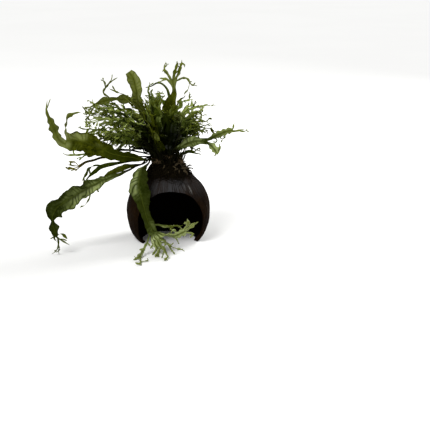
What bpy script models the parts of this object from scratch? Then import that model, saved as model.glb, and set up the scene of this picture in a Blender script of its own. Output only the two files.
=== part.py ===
"""A java fern with crested fronds, growing on a coconut shell cave.

The shell is a coconut cut off flat at the bottom, hollow, with an arched doorway in its front wall, which
faces -Y. A mat of roots caps it. Three creeping rhizomes lie on the mat, and every frond grows from a bud on
one of them. Fronds that stand out are routed by hand. The crowd behind and between them grows by rule.

Lengths are in millimetres, measured from the foot of the shell's axis, until a mesh is made.
"""
import math

import bmesh
import bpy
import numpy as np
from mathutils.bvhtree import BVHTree

MM = 0.001

# Room between pieces that touch
GAP = 0.3

# Coconut shell
SHELL_RADIUS = 52.0
SHELL_RISE = 53.0
SHELL_CENTRE = 38.0
SHELL_BARREL = 2.3
SHELL_WALL = 4.5
SHELL_SIDES = 32
SHELL_ROWS = 8

# Doorway, a rounded arch cut through the front wall
DOOR_HALF_WIDTH = 40.0
DOOR_HALF_HEIGHT = 40.0
DOOR_CENTRE = 30.0
DOOR_TOP_SQUARENESS = 2.1
DOOR_FOOT_SQUARENESS = 3.0
DOOR_FRONT = -75.0
DOOR_BACK = -13.0
DOOR_POINTS = 28

# Root mat on top of the shell
MAT_RADIUS = 27.0
MAT_HEIGHT = 11.0
MAT_FULLNESS = 0.6
MAT_LUMP = 0.9
MAT_GAP = 0.5
MAT_EDGE = 1.0

# Rhizomes, each a bow of points round the crown's axis
RHIZOME_RADIUS = 3.4
RHIZOME_KNOB = 0.3
BUDS_ALONG = 9
BUD_CLEARANCE = 0.3
BUD_REACH = 24.0
BUD_INNER = 4.0
BUD_HEIGHT = 112.0

# Fronds: a blade has a fold along its rib, and a trial frond is padded to keep its distance
BLADE_THICKNESS = 1.0
BLADE_FROM_HALF = 1.6
SIDE_TINE_HALF = 1.5
NECK_LENGTH = 4.0
LOWEST = 1.3
STALK_HALF = 0.85
FOLD = 0.16
TIP_HALF = 0.5
TRIAL_PAD = 0.7

VIEW_BACK = np.array([-0.118, -0.959, 0.259])


def shell_height(radius):
    """Height of the shell's outside at a distance from its axis."""
    return SHELL_CENTRE + SHELL_RISE * np.sqrt(np.maximum(0.0, 1.0 - (radius / SHELL_RADIUS) ** 2))


def mat_height(radius):
    """Height of the root mat's top at a distance from the axis, without its lumps."""
    dome = np.maximum(0.0, 1.0 - (radius / MAT_RADIUS) ** 2)
    return shell_height(radius) + MAT_GAP + MAT_HEIGHT * dome ** MAT_FULLNESS


def unit(vectors):
    """The same directions at length one."""
    vectors = np.asarray(vectors, float)
    return vectors / np.linalg.norm(vectors, axis=-1, keepdims=True)


def rounded(points, passes=4):
    """A smooth curve from a few points: their corners are cut again and again, and the two ends stay."""
    points = np.asarray(points, float)
    for _ in range(passes):
        near = 0.75 * points[:-1] + 0.25 * points[1:]
        far = 0.25 * points[:-1] + 0.75 * points[1:]
        middle = np.stack([near, far], axis=1).reshape(-1, points.shape[1])
        points = np.vstack([points[:1], middle[1:-1], points[-1:]])
    return points


def lengths_along(points):
    """How far along the path each point lies, as a fraction of the whole."""
    steps = np.linalg.norm(np.diff(points[:, :3], axis=0), axis=1)
    run = np.concatenate([[0.0], np.cumsum(steps)])
    return run / run[-1], run[-1]


def carried_frames(path, across, anchor):
    """Tangents and side directions along a path. The side is carried from the anchor both ways, unspun."""
    tangents = unit(np.gradient(path[:, :3], axis=0))
    sides = np.zeros_like(tangents)
    sides[anchor] = unit(across - tangents[anchor] * np.dot(across, tangents[anchor]))
    for here in range(anchor + 1, len(path)):
        sides[here] = unit(sides[here - 1] - tangents[here] * np.dot(sides[here - 1], tangents[here]))
    for here in range(anchor - 1, -1, -1):
        sides[here] = unit(sides[here + 1] - tangents[here] * np.dot(sides[here + 1], tangents[here]))
    return tangents, sides


def read_path(points, across, anchor_fraction, turn):
    """The smooth path with its frames: columns are place, half width, side direction and face direction."""
    path = rounded(points)
    fractions, length = lengths_along(path)
    anchor = int(np.searchsorted(fractions, anchor_fraction).clip(0, len(path) - 1))
    tangents, sides = carried_frames(path, np.asarray(across, float), anchor)
    angle = np.radians(turn) * (fractions - fractions[anchor])[:, None]
    faces = np.cross(tangents, sides)
    turned = sides * np.cos(angle) + faces * np.sin(angle)
    return fractions, np.hstack([path, turned, np.cross(tangents, turned)]), length


def at_fractions(fractions, table, wanted):
    """The table's columns read at the wanted fractions of the path."""
    return np.stack([np.interp(wanted, fractions, column) for column in table.T], axis=1)


class Sheet:
    """A leaf as one thin surface: rows of points joined by faces."""

    def __init__(self, pad=0.0):
        self.points = []
        self.faces = []
        self.pad = pad

    def row(self, reading, cells, fold=FOLD):
        """Add a row of points across the leaf and return their numbers."""
        centre, half, side, face = reading[:3], reading[3] + self.pad, reading[4:7], reading[7:10]
        first = len(self.points)
        for place in np.linspace(-1.0, 1.0, cells + 1):
            lift = fold * half * abs(place)
            self.points.append(centre + side * half * place + face * lift)
        return list(range(first, first + cells + 1))

    def join(self, near, far):
        """Join two rows. The far row has as many cells as the near one, or twice as many."""
        double = len(far) - 1 == 2 * (len(near) - 1)
        for cell in range(len(near) - 1):
            if double:
                edge = far[2 * cell:2 * cell + 3]
            else:
                edge = far[cell:cell + 2]
            self.faces.append([near[cell], near[cell + 1]] + edge[::-1])

    def centre_of(self, row):
        """The middle of a row's two ends and its half width."""
        ends = np.array([self.points[row[0]], self.points[row[-1]]])
        half = np.linalg.norm(ends[1] - ends[0]) / 2.0
        return ends.mean(axis=0), half, unit(ends[1] - ends[0])

    def tine(self, row, points, forks=()):
        """Grow a tine from part of a row along its own points, and split it into forks at its end."""
        centre, half, across = self.centre_of(row)
        start = [*centre, max(half - self.pad, TIP_HALF)]
        knots = np.vstack([start, points])
        fractions, table, _ = read_path(knots, across, 0.0, 0.0)
        wanted, _ = lengths_along(knots)
        readings = at_fractions(fractions, table, wanted[1:])
        cells = len(row) - 1
        for number, reading in enumerate(readings):
            last = number == len(readings) - 1
            if last and forks and cells == 1:
                cells = 2
            far = self.row(reading, cells, fold=0.0)
            self.join(row, far)
            row = far
        share = max(1, cells // max(1, len(forks)))
        for number, fork in enumerate(forks):
            self.tine(row[number * share:number * share + share + 1], fork)


def frond(name, points, across, tines=(), sides=(), anchor=0.7, turn=0.0, tone="green"):
    """A frond's plan. Each point is x, y, z and half width; a tine is its points and its forks.

    across is the direction over the blade at the anchor, and turn is how far it twists over its length.
    A side tine also has the fraction of the frond where it leaves the margin, and which margin, -1 or 1.
    """
    plan = {"name": name, "points": np.array(points, float), "across": across, "tines": list(tines)}
    plan.update({"sides": list(sides), "anchor": anchor, "turn": turn, "tone": tone})
    return plan


def leaf_sheet(plan, pad=0.0):
    """The plan as a coarse surface: one cell across the stalk, two across the blade, more where it forks."""
    sheet = Sheet(pad)
    fractions, table, length = read_path(plan["points"], plan["across"], plan["anchor"], plan["turn"])
    wanted, _ = lengths_along(plan["points"])
    side_room = SIDE_TINE_HALF / length
    for fraction, _, _, _ in plan["sides"]:
        wanted = wanted[np.abs(wanted - fraction) > 2.0 * side_room]
        wanted = np.append(wanted, [fraction - side_room, fraction + side_room])
    wanted = np.sort(wanted)
    readings = at_fractions(fractions, table, wanted)
    rows = []
    cells = 1
    for number, reading in enumerate(readings):
        if cells == 1 and reading[3] > BLADE_FROM_HALF:
            cells = 2
        if number == len(readings) - 1 and len(plan["tines"]) > 2:
            cells = 4 if cells == 2 else 2
        rows.append(sheet.row(reading, cells))
        if number:
            sheet.join(rows[-2], rows[-1])
    for fraction, margin, points, forks in plan["sides"]:
        near = int(np.argmin(np.abs(wanted - (fraction - side_room))))
        if margin > 0:
            start = [rows[near + 1][-1], rows[near][-1]]
        else:
            start = [rows[near][0], rows[near + 1][0]]
        sheet.tine(start, points, forks)
    end = rows[-1]
    for place, (points, forks) in zip(end_shares(len(end) - 1, len(plan["tines"])), plan["tines"]):
        sheet.tine(end[place[0]:place[1] + 1], points, forks)
    return sheet


def end_shares(cells, tines):
    """Which cells of the last row each tine grows from."""
    if tines == 0:
        return []
    if tines == 3 and cells == 4:
        return [(0, 1), (1, 3), (3, 4)]
    share = cells // tines
    return [(number * share, (number + 1) * share) for number in range(tines)]


def sheet_tree(sheet, thickness):
    """A search tree over both faces of the sheet at its thickness, for finding what it would touch."""
    points = np.array(sheet.points)
    normals = np.zeros_like(points)
    for face in sheet.faces:
        corner = points[face]
        normals[face] += np.cross(corner[1] - corner[0], corner[-1] - corner[0])
    normals = unit(normals + 1e-9) * thickness / 2.0
    both = np.vstack([points + normals, points - normals])
    faces = sheet.faces + [[number + len(points) for number in face] for face in sheet.faces]
    return BVHTree.FromPolygons(both.tolist(), faces)


def object_tree(piece):
    """A search tree over a finished object, in millimetres."""
    evaluated = piece.evaluated_get(bpy.context.evaluated_depsgraph_get())
    mesh = evaluated.to_mesh()
    points = [tuple(piece.matrix_world @ vertex.co / MM) for vertex in mesh.vertices]
    faces = [list(polygon.vertices) for polygon in mesh.polygons]
    return BVHTree.FromPolygons(points, faces)


def material(name, colour, roughness):
    """A plain Principled material."""
    finish = bpy.data.materials.new(name)
    finish.use_nodes = True
    shader = finish.node_tree.nodes["Principled BSDF"]
    shader.inputs["Base Color"].default_value = (*colour, 1.0)
    shader.inputs["Roughness"].default_value = roughness
    return finish


def add_piece(name, mesh, finish, collection):
    """An object with its material, in the part's collection."""
    piece = bpy.data.objects.new(name, mesh)
    piece.data.materials.append(finish)
    collection.objects.link(piece)
    return piece


def wall_profile(radius, rise, rows):
    """Points of a wall's section, from the top of the axis down to the floor: round above, fuller below."""
    lowest = math.asin(-SHELL_CENTRE / rise)
    points = []
    for angle in np.linspace(math.pi / 2.0, lowest, rows + 1):
        power = 2.0 if angle > 0.0 else SHELL_BARREL
        out = (1.0 - abs(math.sin(angle)) ** power) ** (1.0 / power)
        points.append((radius * out, 0.0, SHELL_CENTRE + rise * math.sin(angle)))
    return points


def build_shell(finish, parts, cutters):
    """The coconut: a turned wall, with the doorway cut through its front."""
    outside = wall_profile(SHELL_RADIUS, SHELL_RISE, SHELL_ROWS)
    inside = wall_profile(SHELL_RADIUS - SHELL_WALL, SHELL_RISE - SHELL_WALL, SHELL_ROWS - 1)
    outline = np.array(outside + inside[::-1])
    outline[[0, -1], 0] = 0.0
    outline[[SHELL_ROWS, SHELL_ROWS + 1], 2] = 0.0
    mesh = bpy.data.meshes.new("coconut_shell")
    edges = [(number, number + 1) for number in range(len(outline) - 1)]
    mesh.from_pydata((outline * MM).tolist(), edges, [])
    shell = add_piece("coconut_shell", mesh, finish, parts)
    turned = shell.modifiers.new("turned", "SCREW")
    turned.steps = turned.render_steps = SHELL_SIDES
    turned.use_merge_vertices = True
    turned.merge_threshold = 0.00005
    cut = shell.modifiers.new("doorway", "BOOLEAN")
    cut.object = build_door_cutter(cutters)
    return shell


def build_door_cutter(cutters):
    """The doorway's prism: a squarish oval outline, run from in front of the wall to behind the feet."""
    angles = np.linspace(0.0, 2.0 * math.pi, DOOR_POINTS, endpoint=False)
    power = 2.0 / np.where(np.sin(angles) > 0.0, DOOR_TOP_SQUARENESS, DOOR_FOOT_SQUARENESS)
    across = DOOR_HALF_WIDTH * np.sign(np.cos(angles)) * np.abs(np.cos(angles)) ** power
    height = DOOR_CENTRE + DOOR_HALF_HEIGHT * np.sign(np.sin(angles)) * np.abs(np.sin(angles)) ** power
    mesh = bpy.data.meshes.new("doorway_cutter")
    shape = bmesh.new()
    corners = [shape.verts.new((x * MM, DOOR_FRONT * MM, z * MM)) for x, z in zip(across, height)]
    front = shape.faces.new(corners)
    moved = bmesh.ops.extrude_face_region(shape, geom=[front])["geom"]
    for corner in [item for item in moved if isinstance(item, bmesh.types.BMVert)]:
        corner.co.y = DOOR_BACK * MM
    bmesh.ops.recalc_face_normals(shape, faces=shape.faces)
    shape.to_mesh(mesh)
    shape.free()
    cutter = bpy.data.objects.new("doorway_cutter", mesh)
    cutter.hide_render = True
    cutter.display_type = "WIRE"
    cutters.objects.link(cutter)
    return cutter


def build_root_mat(finish, parts):
    """The mat: a ball whose lower half is laid on the shell and whose upper half is a lumpy dome."""
    mesh = bpy.data.meshes.new("root_mat")
    shape = bmesh.new()
    bmesh.ops.create_uvsphere(shape, u_segments=20, v_segments=10, radius=1.0)
    for vertex in shape.verts:
        flat = min(1.0, math.hypot(vertex.co.x, vertex.co.y))
        angle = math.atan2(vertex.co.y, vertex.co.x)
        radius = MAT_RADIUS * flat
        height = shell_height(radius) + MAT_GAP
        if vertex.co.z > 0.01:
            waves = math.sin(5.0 * angle + 0.4 * radius) + math.sin(3.0 * angle - 0.5 * radius)
            height = max(height + MAT_EDGE, mat_height(radius) + MAT_LUMP * flat * (waves / 2.0 - 1.0))
        vertex.co = (radius * math.cos(angle) * MM, radius * math.sin(angle) * MM, height * MM)
    shape.to_mesh(mesh)
    shape.free()
    return add_piece("root_mat", mesh, finish, parts)


def rhizome_routes():
    """The middle lines of the three rhizomes, lying on the mat."""
    flat = {
        "rhizome_left": [(-8.0, 15.0), (-15.0, 9.0), (-17.5, 1.0), (-15.5, -7.0), (-9.0, -14.0)],
        "rhizome_middle": [(-4.0, 9.5), (-6.0, 4.0), (-4.0, -2.0), (0.0, -6.0), (4.5, -9.0)],
        "rhizome_right": [(4.0, 13.5), (10.0, 9.0), (13.5, 2.0), (14.5, -5.0), (15.5, -12.0)],
    }
    routes = {}
    for name, places in flat.items():
        path = rounded(np.array(places), passes=3)
        height = mat_height(np.hypot(path[:, 0], path[:, 1])) + RHIZOME_RADIUS + RHIZOME_KNOB + GAP
        routes[name] = np.column_stack([path, height])
    return routes


def build_rhizome(name, path, finish, parts):
    """A creeping stem with a knob at each old leaf scar."""
    curve = bpy.data.curves.new(name, "CURVE")
    curve.dimensions = "3D"
    curve.bevel_depth = RHIZOME_RADIUS * MM
    curve.bevel_resolution = 1
    curve.use_fill_caps = True
    fractions, _ = lengths_along(path)
    wanted = np.linspace(0.0, 1.0, 10)
    spots = at_fractions(fractions, path, wanted)
    spline = curve.splines.new("POLY")
    spline.points.add(len(spots) - 1)
    for number, (point, spot) in enumerate(zip(spline.points, spots)):
        point.co = (*(spot * MM), 1.0)
        swell = RHIZOME_KNOB / RHIZOME_RADIUS * (1.0 if number % 2 else -1.0)
        ends = 0.75 if number in (0, len(spots) - 1) else 1.0
        point.radius = (1.0 + swell) * ends
    stem = bpy.data.objects.new(name, curve)
    stem.data.materials.append(finish)
    parts.objects.link(stem)
    return stem


def all_buds(routes):
    """Every place on the rhizomes where a frond may start: its place and the way it looks."""
    buds = []
    rows = {"rhizome_left": (20.0, 65.0, 110.0), "rhizome_middle": (40.0, 90.0, 140.0),
            "rhizome_right": (160.0, 115.0, 70.0)}
    for name, path in routes.items():
        fractions, _ = lengths_along(path)
        tangents = unit(np.gradient(path, axis=0))
        for number, angle in enumerate(rows[name]):
            shift = (number % 2) * 0.5
            wanted = (np.arange(BUDS_ALONG) + 0.35 + shift) / (BUDS_ALONG + 0.2)
            for fraction in wanted:
                place = at_fractions(fractions, path, [fraction])[0]
                tangent = at_fractions(fractions, tangents, [fraction])[0]
                left = unit(np.cross(tangent, (0.0, 0.0, 1.0)))
                slope = math.radians(angle)
                outward = left * math.cos(slope) + np.array([0.0, 0.0, 1.0]) * math.sin(slope)
                reach = RHIZOME_RADIUS + RHIZOME_KNOB + BUD_CLEARANCE
                buds.append((place + outward * reach, outward))
    return buds


def nearest_buds(buds, target):
    """The free buds, those first that are near the target and look towards it."""
    def cost(bud):
        way = np.asarray(target) - bud[0]
        return np.linalg.norm(way) - 10.0 * np.dot(unit(way), bud[1])
    return sorted(buds, key=cost)[:BUDS_TRIED]


def routed_fronds():
    """The fronds that the eye picks out one by one, each along its own hand-chosen route."""
    view = (0.99, -0.12, 0.0)
    upright = (0.0, -0.25, 0.97)
    slant = (-0.35, -0.25, 0.90)
    return [
        frond("front_hanging_frond",
              [(-25, -13, 99, 1.0), (-34, -28, 97, 5), (-38, -42, 89, 11), (-39, -48, 76, 12),
               (-35, -51, 62, 9.5), (-32, -53, 49, 5), (-29, -56, 37, 6), (-23, -59, 24, 5.5)],
              view, turn=0.0, tone="grey",
              tines=[([(-30, -63, 15, 1.2), (-36, -70, 7, 1.1), (-42, -84, 1.6, 1.1)],
                      [[(-48, -91, 1.3, 0.6)], [(-41, -113, 1.3, 0.6)]]),
                     ([(-21, -66, 11, 1.2), (-17, -69, 6, 0.5)], ()),
                     ([(-14, -71, 9, 1.6)], [[(-23, -83, 1.6, 0.5)], [(-7, -92, 1.6, 0.5)]]),
                     ([(-9, -64, 21, 2.2), (6, -71, 24, 2), (14, -74, 30, 2.4)],
                      [[(20, -77, 40, 0.9)], [(24, -79, 27, 0.9)]])],
              sides=[(0.93, 1, [(-6, -66, 33, 1.1), (12, -70, 35, 0.5)], ())]),
        frond("broad_left_frond",
              [(-28, -13, 104, 1), (-45, -19, 109, 6.5), (-59, -23, 112, 7.5), (-70, -24, 115, 7),
               (-80, -25, 121, 11), (-95, -27, 128, 13), (-110, -29, 133, 13), (-123, -30, 134, 10.5)],
              upright, turn=15.0, tone="olive",
              tines=[([(-131, -31, 134, 4.5), (-135, -32, 143, 3), (-137, -32, 152, 4.8),
                       (-142, -32, 161, 1.8), (-145, -33, 172, 1)],
                      [[(-143, -33, 182, 0.5)], [(-139, -34, 184, 0.5)]]),
                     ([(-123, -29, 148, 3.4), (-121, -29, 155, 3.6), (-120, -29, 162, 2.4),
                       (-113, -31, 166, 1.6), (-103, -32, 168, 0.5)], ())]),
        frond("lower_left_long_frond",
              [(-32, -18, 101, 1), (-44, -23, 97, 1), (-59, -27, 91, 1.8), (-75, -31, 87, 3.5),
               (-89, -35, 82, 6.5), (-106, -39, 74, 10), (-123, -43, 65, 11), (-137, -46, 56, 10.5),
               (-143, -49, 48, 8), (-143, -51, 41, 3.2), (-142, -53, 33, 5.5), (-139, -57, 24, 3.5)],
              (-0.42, -0.10, 0.90), anchor=0.6, turn=0.0, tone="grey",
              tines=[([(-146, -59, 21, 0.5)], ()),
                     ([(-136, -62, 15, 1), (-138, -63, 8, 0.8), (-145, -63, 3, 0.5)], ()),
                     ([(-131, -61, 18, 0.9), (-124, -63, 14, 0.5)], ()),
                     ([(-132, -56, 27, 0.9), (-126, -58, 20, 2)], ())],
              sides=[(0.42, -1, [(-91, -36, 73, 1), (-86, -36, 74, 0.5)], ()),
                     (0.55, -1, [(-101, -41, 59, 1), (-107, -40, 54, 0.5)], ())]),
        frond("arching_left_frond",
              [(-20, 1, 128, 0.9), (-27, -4, 156, 1.5), (-34, -6, 170, 4), (-43, -7, 177, 6),
               (-52, -7, 178, 3.4), (-59, -7, 179, 5.2), (-67, -8, 179, 2.4), (-78, -9, 177, 3.6),
               (-88, -9, 172, 1.6)],
              (0.1, -0.2, 0.97), anchor=0.6, turn=0.0, tone="olive",
              tines=[([(-93, -11, 164, 1), (-96, -11, 157, 0.5)], ()),
                     ([(-94, -10, 169, 0.8), (-101, -10, 170, 0.5)], ())],
              sides=[(0.70, 1, [(-61, -7, 187, 0.9), (-70, -6, 191, 0.5)], ()),
                     (0.85, 1, [(-78, -9, 187, 0.9), (-74, -9, 194, 0.9), (-67, -10, 201, 0.8)],
                      [[(-66, -10, 209, 0.5)], [(-60, -11, 205, 0.5)]])]),
        frond("blunt_upright_frond",
              [(-13, 6, 125, 0.9), (-25, 3, 148, 2.5), (-34, -1, 169, 5), (-37, -2, 182, 5.5),
               (-38, -2, 194, 7.2), (-41, -3, 204, 7.5), (-46, -3, 211, 4.5)],
              view, turn=20.0, tone="olive"),
        frond("top_crested_frond",
              [(0, -2, 124, 1), (1, -2, 145, 5), (1, -2, 163, 9), (5, -3, 176, 5), (9, -3, 183, 3.5),
               (8, -3, 193, 2), (6, -3, 201, 6.5)],
              view, turn=0.0, tone="olive",
              tines=[([(-2, -2, 201, 1.4), (-9, -1, 202, 0.5)], ()),
                     ([(1, -2, 208, 1.2), (-4, -3, 213, 0.8), (-1, -3, 222, 0.5)], ()),
                     ([(10, -3, 210, 1.5), (13, -4, 223, 0.5)], ()),
                     ([(15, -2, 209, 1.4), (18, -2, 224, 0.5)], ())],
              sides=[(0.975, 1, [(20, -5, 203, 0.9), (26, -7, 202, 0.8), (27, -8, 194, 0.8),
                                 (24, -8, 186, 0.5)], ())]),
        frond("right_reaching_frond",
              [(6, -17, 117, 0.9), (16, -22, 122, 4), (25, -27, 128, 6.5), (34, -31, 130, 6),
               (45, -36, 130, 3.5)],
              upright, turn=0.0, tone="grey",
              tines=[([(49, -37, 126, 2.5), (53, -39, 120, 4), (58, -40, 115, 1)], [[(61, -41, 125, 0.5)]]),
                     ([(50, -37, 134, 1.6), (57, -39, 138, 2.8), (66, -41, 142, 2.6), (75, -43, 144, 2.2)],
                      [[(89, -47, 145, 0.5)], [(77, -45, 153, 0.5)]])]),
        frond("low_right_frond",
              [(11, -15, 107, 0.8), (17, -19, 112, 1.4), (24, -23, 116, 2.4), (31, -26, 115, 2)],
              upright, tone="green",
              tines=[([(39, -28, 112, 0.5)], ()), ([(36, -28, 121, 0.5)], ())]),
        frond("olive_companion_frond",
              [(-27, -10, 99, 0.8), (-40, -13, 98, 1.4), (-54, -17, 97, 3.6), (-67, -20, 93, 4.6),
               (-79, -22, 86, 1.8)],
              slant, tone="olive",
              tines=[([(-84, -23, 80, 0.5)], ()), ([(-86, -22, 87, 0.5)], ())]),
        frond("second_lower_left_frond",
              [(-30, 0, 102, 0.8), (-49, -4, 101, 1.4), (-69, -8, 99, 2.4), (-81, -10, 97, 3),
               (-90, -13, 92, 3.2), (-98, -15, 85, 1)],
              slant, tone="green",
              tines=[([(-103, -17, 79, 0.5)], ())],
              sides=[(0.78, 1, [(-95, -11, 98, 1.2), (-101, -12, 88, 1.4), (-106, -13, 79, 0.5)], ())]),
        frond("small_left_lace",
              [(-24, 7, 107, 0.8), (-49, 8, 114, 1.4), (-73, 7, 112, 2), (-93, 5, 111, 2.6),
               (-103, 5, 109, 2)],
              upright, tone="pale",
              tines=[([(-109, 3, 102, 0.5)], ()), ([(-114, 4, 109, 1.2), (-125, 4, 109, 0.5)], ())]),
        frond("yellow_star_frond",
              [(-24, 14, 102, 0.8), (-49, 16, 105, 1), (-73, 14, 104, 1.5), (-92, 11, 101, 1.5),
               (-102, 9, 98, 1.8), (-110, 8, 94, 2)],
              upright, tone="yellow",
              tines=[([(-115, 8, 88, 0.5)], ()), ([(-124, 8, 90, 0.5)], ()), ([(-123, 8, 96, 0.5)], ()),
                     ([(-116, 8, 101, 0.5)], ())]),
        frond("top_left_strand",
              [(-4, 13, 123, 0.8), (2, 14, 155, 2), (5, 14, 178, 2), (-1, 13, 191, 1.2), (-10, 13, 196, 1.2),
               (-17, 13, 191, 0.8), (-25, 13, 189, 0.5)],
              view, tone="pale"),
        frond("upright_left_frond",
              [(-14, -8, 128, 0.8), (-19, -10, 150, 2), (-20, -10, 167, 3.5), (-20, -10, 181, 3)],
              view, turn=25.0, tone="green",
              tines=[([(-23, -9, 193, 0.5)], ()), ([(-17, -10, 191, 0.5)], ())]),
        frond("upright_middle_frond",
              [(-7, -15, 126, 0.8), (-11, -17, 148, 2.5), (-12, -17, 166, 4), (-12, -17, 176, 4)],
              view, turn=-20.0, tone="green",
              tines=[([(-17, -15, 185, 0.5)], ()), ([(-13, -18, 190, 0.5)], ()), ([(-10, -16, 187, 0.5)], ()),
                     ([(-5, -19, 186, 0.5)], ())]),
        frond("right_upper_lace",
              [(8, -5, 126, 0.8), (15, -8, 145, 1.6), (20, -10, 161, 3), (24, -13, 167, 2.5)],
              view, tone="pale",
              tines=[([(27, -12, 173, 1), (30, -14, 179, 0.5)], ()),
                     ([(33, -16, 169, 1), (41, -19, 170, 0.9), (50, -22, 173, 0.5)], ())]),
        frond("right_middle_lace",
              [(8, -11, 121, 0.8), (16, -16, 138, 1.6), (22, -19, 151, 2.8), (26, -19, 156, 2.6)],
              view, turn=10.0, tone="green",
              tines=[([(32, -19, 162, 1.2), (40, -21, 165, 0.5)], ()),
                     ([(34, -24, 154, 0.8), (43, -26, 154, 0.5)], ()),
                     ([(33, -24, 149, 1.2), (37, -25, 144, 1), (41, -27, 136, 0.5)], ())]),
        frond("lace_left_high",
              [(-16, -4, 124, 0.8), (-37, -7, 152, 1.5), (-60, -9, 166, 3), (-77, -10, 167, 3.2)],
              (0, -0.8, 0.6), tone="pale",
              tines=[([(-83, -12, 157, 0.5)], ()), ([(-93, -12, 159, 0.5)], ()), ([(-96, -10, 166, 0.5)], ()),
                     ([(-88, -10, 171, 0.5)], ())]),
        frond("lace_left_middle",
              [(-17, -10, 121, 0.8), (-42, -15, 144, 1.6), (-65, -18, 156, 3.4), (-82, -20, 156, 3.2)],
              (0, -0.7, 0.7), tone="pale",
              tines=[([(-87, -22, 146, 0.5)], ()), ([(-98, -21, 148, 0.5)], ()),
                     ([(-104, -21, 154, 0.5)], ()), ([(-93, -20, 162, 0.5)], ())]),
        frond("lace_left_low",
              [(-20, -12, 116, 0.8), (-43, -17, 133, 1.6), (-65, -21, 143, 3.2), (-83, -23, 144, 3)],
              (0, -0.6, 0.8), tone="green",
              tines=[([(-95, -24, 140, 0.5)], ()), ([(-107, -23, 147, 0.5)], ())]),
        frond("lace_left_back",
              [(-15, 10, 117, 0.8), (-43, 19, 143, 1.6), (-67, 26, 156, 3), (-82, 30, 157, 3)],
              (0, -0.7, 0.7), tone="pale",
              tines=[([(-94, 35, 147, 0.5)], ()), ([(-100, 35, 157, 0.5)], ()), ([(-91, 33, 165, 0.5)], ())]),
        frond("lace_left_under",
              [(-19, 0, 111, 0.8), (-39, 1, 121, 1.5), (-58, 0, 130, 3), (-73, 0, 131, 3)],
              (0, -0.6, 0.8), tone="green",
              tines=[([(-76, -2, 120, 0.5)], ()), ([(-86, 0, 126, 0.5)], ()), ([(-86, 0, 136, 0.5)], ())]),
    ]


# The crowd: ring name, fronds, first azimuth, arc, lift at the stalk and at the tip, length, widest half
RINGS = [
    ("left", 3, 172.0, 34.0, 68.0, -5.0, 92.0, 3.4),
    ("right", 2, -34.0, 28.0, 72.0, 20.0, 60.0, 3.2),
    ("inner", 5, 205.0, 120.0, 84.0, 56.0, 54.0, 3.4),
    ("crown", 6, -25.0, 225.0, 84.0, 52.0, 66.0, 3.8),
    ("middle", 8, 15.0, 177.0, 76.0, 8.0, 86.0, 4.4),
    ("outer", 7, 40.0, 150.0, 58.0, -28.0, 84.0, 4.8),
]
# The share by which a crowding frond that points to the right is shorter than one that points to the left
RIGHT_SHORTER = 0.45
# How far the crowd's fronds swing aside along their length, in degrees at most
SWAY = 24.0
# Where a crowding frond has its knots, how wide it is at the last four, and how its crest spreads, in degrees
CROWD_KNOTS = np.array([0.08, 0.30, 0.52, 0.70, 0.86, 1.0])
CROWD_WIDTHS = (1.0, 0.9, 0.55, 0.75)
CREST_SPREAD = 38.0
FORK_SPREAD = 23.0
TONES = ("green", "green", "olive", "pale", "dark")

# What a frond tries when it would touch another: a lean of so many degrees, a step towards or from the viewer
LEAN_PER_TRIAL = 4.0
LEAN_SPIRAL = 2.4
STALK_LEAN = 0.3
VIEW_STEP = 1.5
LEANS_TRIED = 18
BUDS_TRIED = 20


def lean(trial):
    """How far a crowding frond leans aside and up on its next try, in degrees: a widening spiral."""
    reach = LEAN_PER_TRIAL * math.sqrt(trial)
    return reach * math.cos(LEAN_SPIRAL * trial), reach * math.sin(LEAN_SPIRAL * trial)


def ring_frond(name, azimuth, lift, end_lift, length, half, start, seed):
    """A frond of the crowd: it rises steeply, arches over by its end lift, and ends in a forked crest."""
    draws = np.random.default_rng(seed)
    length = length * draws.uniform(0.85, 1.15)
    sway = draws.uniform(-SWAY, SWAY)
    steps = np.linspace(0.0, 1.0, 41)
    heading = np.radians(azimuth + sway * steps ** 2)
    rise = np.radians(lift + (end_lift - lift) * steps ** 1.3)
    ways = np.stack([np.cos(heading) * np.cos(rise), np.sin(heading) * np.cos(rise), np.sin(rise)], axis=1)
    places = start[0] + start[1] * NECK_LENGTH / 2.0 + np.cumsum(ways, axis=0) * length / len(steps)
    halves = np.array([STALK_HALF, 1.2, *(half * np.array(CROWD_WIDTHS))])
    knots = np.column_stack([at_fractions(steps, places, CROWD_KNOTS), halves])
    points = np.vstack([[*start[0], STALK_HALF], knots])
    across = np.array([-math.sin(heading[20]), math.cos(heading[20]), 0.0])
    tines = crest(places[-1], ways[-1], across, draws)
    tone = TONES[int(draws.integers(0, len(TONES)))]
    return frond(name, points, across, tines=tines, anchor=0.5, turn=draws.uniform(-25.0, 25.0), tone=tone)


def crest(end, way, across, draws):
    """Two or three tines that spread from a frond's end, each forked in two."""
    tines = []
    for angle in np.linspace(-CREST_SPREAD, CREST_SPREAD, int(draws.integers(2, 4))):
        swing = math.radians(angle + draws.uniform(-10.0, 10.0))
        out = way * math.cos(swing) + across * math.sin(swing)
        joint = end + out * draws.uniform(7.0, 13.0) + np.array([0.0, 0.0, draws.uniform(-4.0, 3.0)])
        forks = []
        for spread in (-FORK_SPREAD, FORK_SPREAD):
            bend = swing + math.radians(spread + draws.uniform(-8.0, 8.0))
            tip = joint + (way * math.cos(bend) + across * math.sin(bend)) * draws.uniform(4.0, 8.5)
            forks.append([(*tip, TIP_HALF)])
        tines.append(([(*joint, 2.0 * TIP_HALF)], forks))
    return tines


def ring_azimuth(ring, place):
    """Where round the crown the ring's frond of that place points, in degrees from +X."""
    _, count, first, arc = ring[:4]
    return first + arc * place / (count - 1)


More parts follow.
